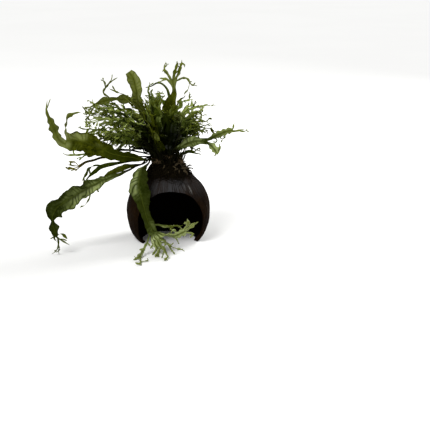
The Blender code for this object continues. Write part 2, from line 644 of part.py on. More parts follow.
def ring_plan(number, ring, place, start, trial):
    """The numbered frond of a ring on a given try."""
    label, _, _, _, lift, end_lift, length, half = ring
    aside, up = lean(trial)
    azimuth = ring_azimuth(ring, place) + aside
    length = length * (1.0 - RIGHT_SHORTER * max(0.0, math.cos(math.radians(azimuth))) ** 2)
    name = f"{label}_frond_{place + 1}"
    return ring_frond(name, azimuth, lift + STALK_LEAN * up, end_lift + up, length, half, start, 100 + number)


def with_bud(plan, start, trial):
    """A routed frond joined to its bud, and moved to or from the viewer where it would touch another."""
    points = plan["points"].copy()
    step = (trial + 1) // 2 * (1 if trial % 2 else -1) * VIEW_STEP
    weights = np.minimum(1.0, np.arange(len(points)) / 2.0)[:, None]
    shift = VIEW_BACK * step
    points[:, :3] += weights * shift
    base = [*start[0], STALK_HALF]
    neck = [*(start[0] + start[1] * NECK_LENGTH), STALK_HALF]
    moved = dict(plan)
    moved["points"] = np.vstack([base, neck, points])

    def shifted(rows):
        return [(x + shift[0], y + shift[1], max(z + shift[2], LOWEST), half) for x, y, z, half in rows]

    moved["tines"] = [(shifted(rows), [shifted(fork) for fork in forks]) for rows, forks in plan["tines"]]
    moved["sides"] = [(fraction, margin, shifted(rows), [shifted(fork) for fork in forks])
                      for fraction, margin, rows, forks in plan["sides"]]
    return moved


def build_frond(plan, finish, parts):
    """The frond's sheet made solid."""
    sheet = leaf_sheet(plan)
    mesh = bpy.data.meshes.new(plan["name"])
    mesh.from_pydata((np.array(sheet.points) * MM).tolist(), [], sheet.faces)
    piece = add_piece(plan["name"], mesh, finish, parts)
    body = piece.modifiers.new("body", "SOLIDIFY")
    body.thickness = BLADE_THICKNESS * MM
    body.offset = 0.0
    return piece


def grow_one(make_plan, target, buds, trees):
    """Grow a frond from the first free bud, and with the least lean, that keep it clear of what has grown."""
    for bud in nearest_buds(buds, target):
        for trial in range(LEANS_TRIED):
            plan = make_plan(bud, trial)
            tree = sheet_tree(leaf_sheet(plan, pad=TRIAL_PAD), BLADE_THICKNESS + 2.0 * TRIAL_PAD)
            if not any(tree.overlap(other) for other in trees):
                buds[:] = [other for other in buds if other is not bud]
                trees.append(sheet_tree(leaf_sheet(plan), BLADE_THICKNESS))
                return plan
    raise RuntimeError(f"{plan['name']} finds no room")


def grow_fronds(routes, trees):
    """Plans of all the fronds, each clear of the ones before it."""
    buds = all_buds(routes)
    plans = []
    for plan in routed_fronds():
        target = plan["points"][0, :3]
        plans.append(grow_one(lambda bud, trial: with_bud(plan, bud, trial), target, buds, trees))
    for ring in RINGS:
        for place in range(ring[1]):
            azimuth = math.radians(ring_azimuth(ring, place))
            reach = BUD_REACH * math.cos(math.radians(ring[4])) + BUD_INNER
            target = (reach * math.cos(azimuth), reach * math.sin(azimuth), BUD_HEIGHT)
            number = len(plans)

            def make_plan(bud, trial):
                return ring_plan(number, ring, place, bud, trial)

            plans.append(grow_one(make_plan, target, buds, trees))
    return plans


def box_of(pieces):
    """The lowest and highest corners of the pieces' evaluated meshes."""
    depsgraph = bpy.context.evaluated_depsgraph_get()
    corners = []
    for piece in pieces:
        mesh = piece.evaluated_get(depsgraph).to_mesh()
        places = np.empty(len(mesh.vertices) * 3)
        mesh.vertices.foreach_get("co", places)
        corners += [places.reshape(-1, 3).min(axis=0), places.reshape(-1, 3).max(axis=0)]
    return np.min(corners, axis=0), np.max(corners, axis=0)


def centre_on_floor(parts, cutters):
    """Hang every piece on one empty, and move it so that the origin is under the middle of the part's box."""
    bpy.context.view_layer.update()
    lowest, highest = box_of(parts.objects)
    foot = bpy.data.objects.new("plant_foot", None)
    foot.location = (-(lowest[0] + highest[0]) / 2.0, -(lowest[1] + highest[1]) / 2.0, 0.0)
    bpy.context.scene.collection.objects.link(foot)
    for piece in [*parts.objects, *cutters.objects]:
        piece.parent = foot


def main():
    for old in list(bpy.data.objects):
        bpy.data.objects.remove(old, do_unlink=True)
    parts = bpy.data.collections.new("java_fern_on_coconut_shell")
    cutters = bpy.data.collections.new("cutters")
    bpy.context.scene.collection.children.link(parts)
    bpy.context.scene.collection.children.link(cutters)
    husk = material("coconut", (0.045, 0.028, 0.020), 0.55)
    roots = material("roots", (0.030, 0.022, 0.014), 0.9)
    stem = material("rhizome", (0.10, 0.065, 0.030), 0.7)
    leaves = {
        "green": material("leaf_green", (0.055, 0.110, 0.018), 0.45),
        "grey": material("leaf_grey_green", (0.110, 0.180, 0.070), 0.40),
        "olive": material("leaf_olive", (0.150, 0.170, 0.015), 0.45),
        "pale": material("leaf_pale", (0.180, 0.240, 0.070), 0.45),
        "yellow": material("leaf_yellow", (0.300, 0.250, 0.030), 0.55),
        "dark": material("leaf_dark", (0.025, 0.050, 0.012), 0.50),
    }
    shell = build_shell(husk, parts, cutters)
    mat = build_root_mat(roots, parts)
    routes = rhizome_routes()
    stems = [build_rhizome(name, path, stem, parts) for name, path in routes.items()]
    bpy.context.view_layer.update()
    trees = [object_tree(piece) for piece in (shell, mat, *stems)]
    for plan in grow_fronds(routes, trees):
        build_frond(plan, leaves[plan["tone"]], parts)
    centre_on_floor(parts, cutters)


main()
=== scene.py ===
"""Looks of a java fern with crested fronds on a coconut shell cave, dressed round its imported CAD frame.

Plans of the fronds are in millimetres from the foot of the shell's axis, as the part's source has them. Each
is fitted to its CAD node, and grown again as a thin quilted leaf with ruffled margins and antler-like tips.
"""
import math

import bmesh
import bpy
import numpy as np
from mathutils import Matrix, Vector


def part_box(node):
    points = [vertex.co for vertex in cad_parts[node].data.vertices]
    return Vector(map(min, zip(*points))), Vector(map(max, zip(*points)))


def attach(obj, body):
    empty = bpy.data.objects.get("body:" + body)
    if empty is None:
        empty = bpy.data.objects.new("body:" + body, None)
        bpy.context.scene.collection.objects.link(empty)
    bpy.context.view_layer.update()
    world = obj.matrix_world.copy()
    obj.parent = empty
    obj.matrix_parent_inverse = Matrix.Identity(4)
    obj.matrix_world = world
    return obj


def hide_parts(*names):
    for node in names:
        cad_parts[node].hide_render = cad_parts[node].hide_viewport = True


bl_info = {
    "name": "Java fern on coconut shell",
    "version": (1, 0, 0),
    "blender": (4, 5, 0),
    "location": "3D View > Sidebar > Java Fern",
    "description": "Dresses the packed model of a java fern on a coconut shell",
    "category": "Object",
}

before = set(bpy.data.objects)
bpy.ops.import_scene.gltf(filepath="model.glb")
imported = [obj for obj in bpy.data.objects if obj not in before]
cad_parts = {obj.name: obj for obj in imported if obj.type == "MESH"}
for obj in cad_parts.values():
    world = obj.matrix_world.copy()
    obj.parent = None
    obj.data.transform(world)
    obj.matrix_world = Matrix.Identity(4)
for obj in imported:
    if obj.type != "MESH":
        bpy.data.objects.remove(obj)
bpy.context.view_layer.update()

MM = 0.001
MAT_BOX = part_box("root_mat")
AXIS = np.array([(MAT_BOX[0][0] + MAT_BOX[1][0]) / 2.0, (MAT_BOX[0][1] + MAT_BOX[1][1]) / 2.0, 0.0]) / MM
UP = np.array([0.0, 0.0, 1.0])
FULL_TURN = 2.0 * math.pi

# Coconut shell, as the part's source has it
SHELL_RADIUS = 52.0
SHELL_RISE = 53.0
SHELL_CENTRE = 38.0
SHELL_BARREL = 2.3
SHELL_WALL = 4.5
DOOR_HALF_WIDTH = 40.0
DOOR_HALF_HEIGHT = 40.0
DOOR_CENTRE = 30.0
DOOR_TOP_SQUARENESS = 2.1
DOOR_FOOT_SQUARENESS = 3.0
DOOR_FRONT = -75.0
DOOR_BACK = -13.0
# How deep the doorway's cut narrows towards its back, and to what height above the floor
DOOR_NARROWS = 9.0
DOOR_NARROW_HEIGHT = 14.0

# Root mat and rhizomes, as the part's source has them
MAT_RADIUS = 27.0
MAT_HEIGHT = 11.0
MAT_FULLNESS = 0.6
MAT_GAP = 0.5
RHIZOME_RADIUS = 3.4
RHIZOME_KNOB = 0.3
GAP = 0.3
BUDS_ALONG = 9
BUD_CLEARANCE = 0.3

# How far from the axis the loose roots start and end at most, and the old stalks stand, in mm
ROOT_START = 25.0
ROOT_LIMIT = 38.0
STALK_CIRCLE = 19.0
# Root hairs of each rhizome, and their length in mm
RHIZOME_HAIRS = 90
HAIR_REACH = 5.0

# Fronds, as the part's source has them
NECK_LENGTH = 4.0
LOWEST = 1.3
STALK_HALF = 0.85
FOLD = 0.16
TIP_HALF = 0.5
# The way from the plant to the photograph's viewer
VIEW_BACK = np.array([-0.118, -0.959, 0.259])
# The largest distance, on average and in mm, at which a plan still counts as its CAD node's
WORST_MISFIT = 1.25

# Rings of the crowd: name, fronds, first azimuth, arc, lift at the stalk and at the tip, length, widest half
RINGS = [
    ("left", 3, 172.0, 34.0, 68.0, -5.0, 92.0, 3.4),
    ("right", 2, -34.0, 28.0, 72.0, 20.0, 60.0, 3.2),
    ("inner", 5, 205.0, 120.0, 84.0, 56.0, 54.0, 3.4),
    ("crown", 6, -25.0, 225.0, 84.0, 52.0, 66.0, 3.8),
    ("middle", 8, 15.0, 177.0, 76.0, 8.0, 86.0, 4.4),
    ("outer", 7, 40.0, 150.0, 58.0, -28.0, 84.0, 4.8),
]
# The share by which a crowding frond that points to the right is shorter than one that points to the left
RIGHT_SHORTER = 0.45
# How far the crowd's fronds swing aside along their length, in degrees at most
SWAY = 24.0
# Where a crowding frond has its knots, how wide it is at the last four, and how its crest spreads, in degrees
CROWD_KNOTS = np.array([0.08, 0.30, 0.52, 0.70, 0.86, 1.0])
CROWD_WIDTHS = (1.0, 0.9, 0.55, 0.75)
CREST_SPREAD = 38.0
FORK_SPREAD = 23.0
TONES = ("green", "green", "olive", "pale", "dark")
# What the part's source has a frond try when it would touch another: a lean of so many degrees, a step
# towards or from the viewer
LEAN_PER_TRIAL = 4.0
LEAN_SPIRAL = 2.4
STALK_LEAN = 0.3
VIEW_STEP = 1.5
LEANS_TRIED = 18

# The fronds that are a lace of fine tines: how many small tines they carry, and their tint
LACY = {"lace_left_high": (1.0, 0.6), "lace_left_middle": (1.0, 0.9), "lace_left_low": (1.0, 0.4),
        "lace_left_back": (1.0, 0.6), "lace_left_under": (0.8, 0.1), "upright_left_frond": (0.3, 0.5),
        "upright_middle_frond": (0.3, 0.7), "right_upper_lace": (0.7, 0.7), "right_middle_lace": (0.7, 0.3)}
# How many small tines the crests of the other single fronds carry
CRESTED = {"front_hanging_frond": 0.9, "top_crested_frond": 0.7, "right_reaching_frond": 0.5,
           "yellow_star_frond": 0.7, "top_left_strand": 0.6, "broad_left_frond": 0.15,
           "arching_left_frond": 0.35}
CRESTED_ELSE = 0.5
# The crowd by ring: cousins, their smallest size, width, turn in degrees, bare share, lace, sprouts, tints
HABITS = {
    "left": (3, 0.36, 1.1, 12.0, 0.4, 0.7, 0.5, (-0.7, 0.8)),
    "right": (3, 0.36, 1.3, 12.0, 0.5, 0.4, 0.1, (-0.3, 0.9)),
    "inner": (7, 0.34, 1.6, 17.0, 0.95, 0.1, 0.0, (-0.9, 0.5)),
    "crown": (4, 0.40, 1.5, 15.0, 0.6, 0.25, 0.0, (-0.5, 1.1)),
    "middle": (3, 0.36, 1.4, 14.0, 0.5, 0.4, 0.1, (-0.7, 0.8)),
    "outer": (2, 0.36, 1.2, 14.0, 0.4, 0.5, 0.2, (-0.8, 0.5)),
}
# The same four measures for the cousins of the lacy fronds, and the tints that cousins have
LACY_COUSINS = (0.62, 0.9, 11.0, 0.0)
TINTS = (-0.5, 1.0)
# Half the length of margin that a planned side tine starts from, in mm
SIDE_START = 1.6
# How far paths stray from their routes: blades that stand alone, blades in the crowd, and tines, in mm
STRAY_ALONE = 0.25
STRAY_IN_CROWD = 1.5
TINE_STRAY = 1.0
# How much a frond's tines differ in tint
TINE_TINTS = 0.40
# How much paler than the blade some fronds' tines are, and the direction that they turn their width to
CREST_LOOKS = {"front_hanging_frond": (0.8, (0.6, 0.0, -0.8))}
# How much wider than their plans the tines are
FATTER = {"front_hanging_frond": 2.0, "lower_left_long_frond": 1.25, "right_reaching_frond": 1.5,
          "top_crested_frond": 1.5, "broad_left_frond": 1.35, "yellow_star_frond": 1.8}
FATTER_ELSE = 1.3
# How strongly the blades are quilted between the side veins
QUILTED = {"front_hanging_frond": 1.3, "lower_left_long_frond": 1.2, "right_reaching_frond": 0.8,
           "broad_left_frond": 0.30, "blunt_upright_frond": 0.10, "arching_left_frond": 0.25}
QUILTED_ELSE = 0.5
# How strongly a blade's margins bend back, where that shows, and between which limits elsewhere
CURLS = {"front_hanging_frond": 0.42, "broad_left_frond": 0.30, "lower_left_long_frond": 0.28,
         "top_crested_frond": 0.30}
CURLS_ELSE = (0.05, 0.2)
# Where a blade is wider or narrower than its plan: share of the length, spread and amount
SWELLS = {
    "lower_left_long_frond": [(0.845, 0.03, 0.35), (0.895, 0.014, -0.55), (0.94, 0.02, 0.35)],
    "arching_left_frond": [(0.545, 0.03, 0.20), (0.636, 0.025, -0.45), (0.705, 0.03, 0.35),
                           (0.78, 0.022, -0.45), (0.89, 0.03, 0.50)],
}
# Patches of tint on the single fronds, most of them painted highlight and painted shade where a blade's side
# faces the light or turns from it: first and last share of the length, from and to across, and tint
TINT_AND_LIGHT_PATCHES = {
    "front_hanging_frond": [(0.10, 0.56, -1.2, 0.02, 0.55), (0.05, 0.88, 0.10, 1.2, -0.75),
                            (0.60, 0.95, -1.2, 0.1, -0.85), (0.88, 0.97, 0.1, 1.2, -0.40)],
    "broad_left_frond": [(0.80, 0.94, 0.10, 0.85, 0.90), (0.62, 0.70, 0.0, 0.5, 0.35),
                         (0.20, 0.58, -1.2, 1.2, -0.75), (0.95, 1.4, -1.2, 1.2, 0.75)],
    "lower_left_long_frond": [(0.44, 0.74, -1.2, 0.30, 0.55), (0.40, 0.84, 0.50, 1.2, -0.35),
                              (0.70, 0.84, -1.2, 1.2, -0.45), (0.84, 1.1, -1.2, 1.2, -0.75),
                              (0.10, 0.36, -1.2, 1.2, -0.5)],
    "blunt_upright_frond": [(0.30, 1.2, -1.2, 1.2, 0.45), (0.30, 1.2, 0.05, 1.2, 0.35)],
    "arching_left_frond": [(0.30, 1.2, -1.2, 1.2, 0.35)],
    "right_reaching_frond": [(0.30, 0.85, 0.0, 1.2, 0.45)],
    "top_crested_frond": [(0.85, 1.2, -1.2, 1.2, 0.60)],
}
# Grids of the blades, cells across and their length in mm: single fronds, the crowd's, and its cousins
SINGLE_GRID = (16, 1.0)
CROWD_GRID = (8, 1.5)
COUSIN_GRID = (8, 1.8)
# Small shoots on tines and on blades: how many mm there are to each, their reach and their half width
TINE_SHOOTS = (6.5, 7.5, 0.85)
BLADE_SHOOTS = (12.0, 10.0, 1.2)
# A margin's lobes: length in mm and height of each wave
LOBES = ((27.0, 0.12), (13.0, 0.06), (5.2, 0.018))
# How far forward the side veins slant, and the share of the blade that its rib runs along
VEIN_SLANT = 0.62
RIB_END = 0.92

# Tones of the fronds: deep, main and fleck colours, the pillow colour painted on as highlights, how much
# painted shade and age darken them towards the crown, and how strongly creases are darkened with painted
# shade
LEAF_TONES = {
    "green": ((0.0080, 0.0150, 0.0006), (0.0300, 0.0460, 0.0020), (0.0700, 0.0980, 0.0060),
              (0.1700, 0.2150, 0.0380), 0.95, 0.30),
    "grey": ((0.0120, 0.0180, 0.0014), (0.0380, 0.0500, 0.0060), (0.0850, 0.1120, 0.0280),
             (0.2400, 0.2850, 0.0950), 0.35, 0.65),
    "olive": ((0.0120, 0.0160, 0.0004), (0.0410, 0.0520, 0.0014), (0.0850, 0.0950, 0.0040),
              (0.1700, 0.1950, 0.0380), 0.50, 0.22),
    "pale": ((0.0110, 0.0200, 0.0014), (0.0620, 0.0860, 0.0080), (0.1500, 0.1900, 0.0300),
             (0.3600, 0.4400, 0.1050), 0.95, 0.30),
    "yellow": ((0.0700, 0.0500, 0.0030), (0.1700, 0.1250, 0.0080), (0.3000, 0.2300, 0.0220),
               (0.3000, 0.2400, 0.0400), 0.60, 0.30),
    "dark": ((0.0030, 0.0050, 0.0004), (0.0110, 0.0180, 0.0014), (0.0280, 0.0400, 0.0040),
             (0.0700, 0.0880, 0.0220), 0.95, 0.30),
}
LEAF_SHADE = (0.0110, 0.0160, 0.0008)
# Lighter scurf on the roots and stems
SCURF = {"matted_roots": (0.020, 0.014, 0.007), "old_stumps": (0.0850, 0.0680, 0.0400),
         "creeping_stem": (0.190, 0.130, 0.070), "old_stalks": (0.016, 0.014, 0.006)}
SCRATCH = (0.16, 0.16, 0.15)
# Where the crown of the plant and the scuffed spot of the husk are
CROWN = (0.0, 2.0, 112.0)
SCUFF = (22.0, -36.0, 71.0)

# Camera: degrees round and above the object, lens in mm, and its place from the foot of the shell's axis
CAMERA_AZIMUTH = -7.0
CAMERA_RISE = 15.0
CAMERA_LENS = 85.0
CAMERA_PLACE = (-92.27, -1231.0, 360.39)
# Half the width of the floor, in metres
FLOOR_REACH = 9.0

# Seeds of the random draws for the shell, its mat and its stems
WALL_SEED = 7
DOOR_SEED = 3
MAT_SEED = 21
RHIZOME_SEED = 22
STALK_SEED = 23
# Seeds to which a frond's number is added: the crowd's plans, the blades, and how their cousins differ
PLAN_SEED = 100
SINGLE_SEED = 400
CROWD_SEED = 500
LACY_SEED = 900
RING_SEED = 1000
LACY_COUSIN_SEED = 2000
CROWD_COUSIN_SEED = 3000


class FernShellSettings(bpy.types.PropertyGroup):
    """Sizes and colours of the coconut shell, its root mat and its rhizomes."""

    husk: bpy.props.FloatVectorProperty(
        name="Husk", description="Main colour of the coconut's outside", subtype="COLOR",
        default=(0.0062, 0.0034, 0.0017))
    rust: bpy.props.FloatVectorProperty(
        name="Rust", description="Reddish brown where the husk is worn", subtype="COLOR",
        default=(0.0125, 0.0062, 0.0024))
    # Partly dust, partly painted sheen: the grey above the doorway and on the right shoulder.
    dust_and_sheen: bpy.props.FloatVectorProperty(
        name="Bloom", description="Dry grey bloom above the doorway", subtype="COLOR",
        default=(0.0370, 0.0370, 0.0385))
    # Painted shade: the inside is made almost black for the shade that fills the hollow.
    inside: bpy.props.FloatVectorProperty(
        name="Inside", description="Soot-dark inside of the shell", subtype="COLOR",
        default=(0.0016, 0.0012, 0.0008))
    root: bpy.props.FloatVectorProperty(
        name="Root", description="Colour of the matted roots", subtype="COLOR",
        default=(0.0026, 0.0023, 0.0010))
    stump: bpy.props.FloatVectorProperty(
        name="Stumps", description="Colour of the dead stumps on the mat", subtype="COLOR",
        default=(0.0460, 0.0340, 0.0180))
    rhizome: bpy.props.FloatVectorProperty(
        name="Rhizome", description="Colour of the creeping stems", subtype="COLOR",
        default=(0.0072, 0.0052, 0.0022))
    dent: bpy.props.FloatProperty(
        name="Dents", description="How far the coconut departs from a true round", default=0.0006,
        min=0.0, max=0.002, unit="LENGTH")
    strands: bpy.props.IntProperty(
        name="Root strands", description="Loose roots that creep over the mat and the shell", default=420,
        min=0, max=1500)
    stumps: bpy.props.IntProperty(
        name="Stumps", description="Dead stumps of stems and stalks on the mat", default=46, min=0, max=300)
    stalks: bpy.props.IntProperty(
        name="Old stalks", description="Short old stalks that stand on the mat", default=80, min=0, max=600)


class FernFrondSettings(bpy.types.PropertyGroup):
    """Form and colours of the fronds."""

    thickness: bpy.props.FloatProperty(
        name="Blade thickness", description="Thickness of a blade", default=0.0004, min=0.0002, max=0.001,
        unit="LENGTH")
    vein_spacing: bpy.props.FloatProperty(
        name="Vein spacing", description="Distance between side veins", default=0.0064, min=0.002, max=0.02,
        unit="LENGTH")
    quilting: bpy.props.FloatProperty(
        name="Quilting", default=0.11, min=0.0, max=0.3,
        description="Height of the pillows between side veins, as a share of the half width")
    ruffle: bpy.props.FloatProperty(
        name="Ruffle", description="Height of the margin's waves, as a share of the half width",
        default=0.24, min=0.0, max=0.6)
    cousins: bpy.props.IntProperty(
        name="Cousins", description="Smaller fronds that grow beside each lacy frond", default=3, min=0,
        max=5)
    stalk: bpy.props.FloatVectorProperty(
        name="Stalk", description="Colour of the stalks", subtype="COLOR", default=(0.0060, 0.0065, 0.0018))
    rib: bpy.props.FloatVectorProperty(
        name="Rib", description="Colour of the midribs", subtype="COLOR", default=(0.0450, 0.0560, 0.0060))
    tip: bpy.props.FloatVectorProperty(
        name="Tip", description="Colour of the youngest tips", subtype="COLOR",
        default=(0.1300, 0.1550, 0.0150))


class FernStageSettings(bpy.types.PropertyGroup):
    """The floor and the lights."""

    floor: bpy.props.FloatVectorProperty(
        name="Floor", description="Colour of the floor", subtype="COLOR", default=(0.90, 0.90, 0.89))
    key: bpy.props.FloatProperty(
        name="Key light", description="Strength of the broad soft light from the upper left", default=2.3,
        min=0.0)
    rim: bpy.props.FloatProperty(
        name="Rim light", description="Power of the soft light from behind on the right", default=14.0,
        min=0.0, unit="POWER")
    sky: bpy.props.FloatProperty(
        name="Surrounding light", description="Strength of the even light all round", default=0.52, min=0.0)


def shell_height(radius):
    """Height of the shell's outside at a distance from its axis."""
    return SHELL_CENTRE + SHELL_RISE * np.sqrt(np.maximum(0.0, 1.0 - (radius / SHELL_RADIUS) ** 2))


def mat_height(radius):
    """Height of the root mat's top at a distance from the axis, without its lumps."""
    dome = np.maximum(0.0, 1.0 - (radius / MAT_RADIUS) ** 2)
    return shell_height(radius) + MAT_GAP + MAT_HEIGHT * dome ** MAT_FULLNESS


def ground(radius):
    """Height of what lies under a loose root or stump: the mat, or the shell with a small gap outside it."""
    on_mat = mat_height(np.minimum(radius, MAT_RADIUS))
    return np.where(radius < MAT_RADIUS, on_mat, shell_height(radius) + GAP)


def spot(place):
    """A place in the scene, from millimetres about the foot of the shell's axis."""
    return tuple((AXIS + np.array(place)) * MM)


def unit(vectors):
    """The same directions at length one."""
    vectors = np.asarray(vectors, float)
    return vectors / np.linalg.norm(vectors, axis=-1, keepdims=True)


def smooth(low, high, values):
    """0 below low, 1 above high, and an S-curve between."""
    share = np.clip((values - low) / (high - low), 0.0, 1.0)
    return share * share * (3.0 - 2.0 * share)


def swing(phase):
    """Height of a sine wave after so many of its lengths, from -1 to 1."""
    return np.sin(FULL_TURN * phase)


def about_axis(radius, angle, height):
    """Points from their distance from the axis, their direction in radians, and their height.

    With a cosine and a sine of one slope as distance and height, they are directions of length one.
    """
    return np.stack(np.broadcast_arrays(radius * np.cos(angle), radius * np.sin(angle), height), axis=-1)


def rounded(points, passes=4):
    """A smooth curve from a few points: their corners are cut again and again, and the two ends stay."""
    points = np.asarray(points, float)
    for _ in range(passes):
        near = 0.75 * points[:-1] + 0.25 * points[1:]
        far = 0.25 * points[:-1] + 0.75 * points[1:]
        middle = np.stack([near, far], axis=1).reshape(-1, points.shape[1])
        points = np.vstack([points[:1], middle[1:-1], points[-1:]])
    return points


def lengths_along(points):
    """How far along the path each point lies, as a fraction of the whole, and the whole length."""
    steps = np.linalg.norm(np.diff(points[:, :3], axis=0), axis=1)
    run = np.concatenate([[0.0], np.cumsum(steps)])
    return run / run[-1], run[-1]


def at_fractions(fractions, table, wanted):
    """The table's columns read at the wanted fractions of the path."""
    return np.stack([np.interp(wanted, fractions, column) for column in table.T], axis=1)


def carried_frames(path, across, anchor):
    """Tangents and side directions along a path. The side is carried from the anchor both ways, unspun."""
    tangents = unit(np.gradient(path[:, :3], axis=0))
    sides = np.zeros_like(tangents)
    sides[anchor] = unit(across - tangents[anchor] * np.dot(across, tangents[anchor]))
    onward = [(here - 1, here) for here in range(anchor + 1, len(path))]
    back = [(here + 1, here) for here in range(anchor - 1, -1, -1)]
    for last, here in onward + back:
        sides[here] = unit(sides[last] - tangents[here] * np.dot(sides[last], tangents[here]))
    return tangents, sides


def read_path(plan):
    """A plan's smooth path: its fractions, its table and its length.

    The table's columns are place, half width, side direction and face direction, three each but the second.
    """
    path = rounded(plan["points"])
    fractions, length = lengths_along(path)
    anchor = int(np.searchsorted(fractions, plan["anchor"]).clip(0, len(path) - 1))
    tangents, sides = carried_frames(path, np.asarray(plan["across"], float), anchor)
    angle = np.radians(plan["turn"]) * (fractions - fractions[anchor])[:, None]
    turned = sides * np.cos(angle) + np.cross(tangents, sides) * np.sin(angle)
    return fractions, np.hstack([path, turned, np.cross(tangents, turned)]), length


def frond(name, points, across, tines=(), sides=(), anchor=0.7, turn=0.0, tone="green"):
    """A frond's plan. Each point is x, y, z and half width; a tine is its points and its forks.

    across is the direction over the blade at the anchor, and turn is how far it twists over its length. A
    side tine also has the fraction of the frond where it leaves the margin, and which margin, -1 or 1.
    """
    return {"name": name, "points": np.array(points, float), "across": across, "tines": tines, "sides": sides,
            "anchor": anchor, "turn": turn, "tone": tone, "tint": 0.0, "alone": False}


def tip(x, y, z):
    """A tine that runs straight to its tip."""
    return [(x, y, z, TIP_HALF)], ()


def rhizome_routes():
    """The middle lines of the three rhizomes, lying on the mat."""
    flat = {
        "rhizome_left": [(-8.0, 15.0), (-15.0, 9.0), (-17.5, 1.0), (-15.5, -7.0), (-9.0, -14.0)],
        "rhizome_middle": [(-4.0, 9.5), (-6.0, 4.0), (-4.0, -2.0), (0.0, -6.0), (4.5, -9.0)],
        "rhizome_right": [(4.0, 13.5), (10.0, 9.0), (13.5, 2.0), (14.5, -5.0), (15.5, -12.0)],
    }
    routes = {}
    for name, places in flat.items():
        path = rounded(np.array(places), passes=3)
        height = mat_height(np.hypot(path[:, 0], path[:, 1])) + RHIZOME_RADIUS + RHIZOME_KNOB + GAP
        routes[name] = np.column_stack([path, height])
    return routes


def all_buds():
    """Every place on the rhizomes where a frond may start: its place and the way it looks."""
    slopes = {"rhizome_left": (20.0, 65.0, 110.0), "rhizome_middle": (40.0, 90.0, 140.0),
              "rhizome_right": (160.0, 115.0, 70.0)}
    reach = RHIZOME_RADIUS + RHIZOME_KNOB + BUD_CLEARANCE
    buds = []
    for name, path in rhizome_routes().items():
        fractions, _ = lengths_along(path)
        tangents = unit(np.gradient(path, axis=0))
        for number, slope in enumerate(np.radians(slopes[name])):
            wanted = (np.arange(BUDS_ALONG) + 0.35 + (number % 2) * 0.5) / (BUDS_ALONG + 0.2)
            places = at_fractions(fractions, path, wanted)
            left = unit(np.cross(at_fractions(fractions, tangents, wanted), UP))
            outward = left * math.cos(slope) + UP * math.sin(slope)
            buds += zip(places + outward * reach, outward)
    return buds


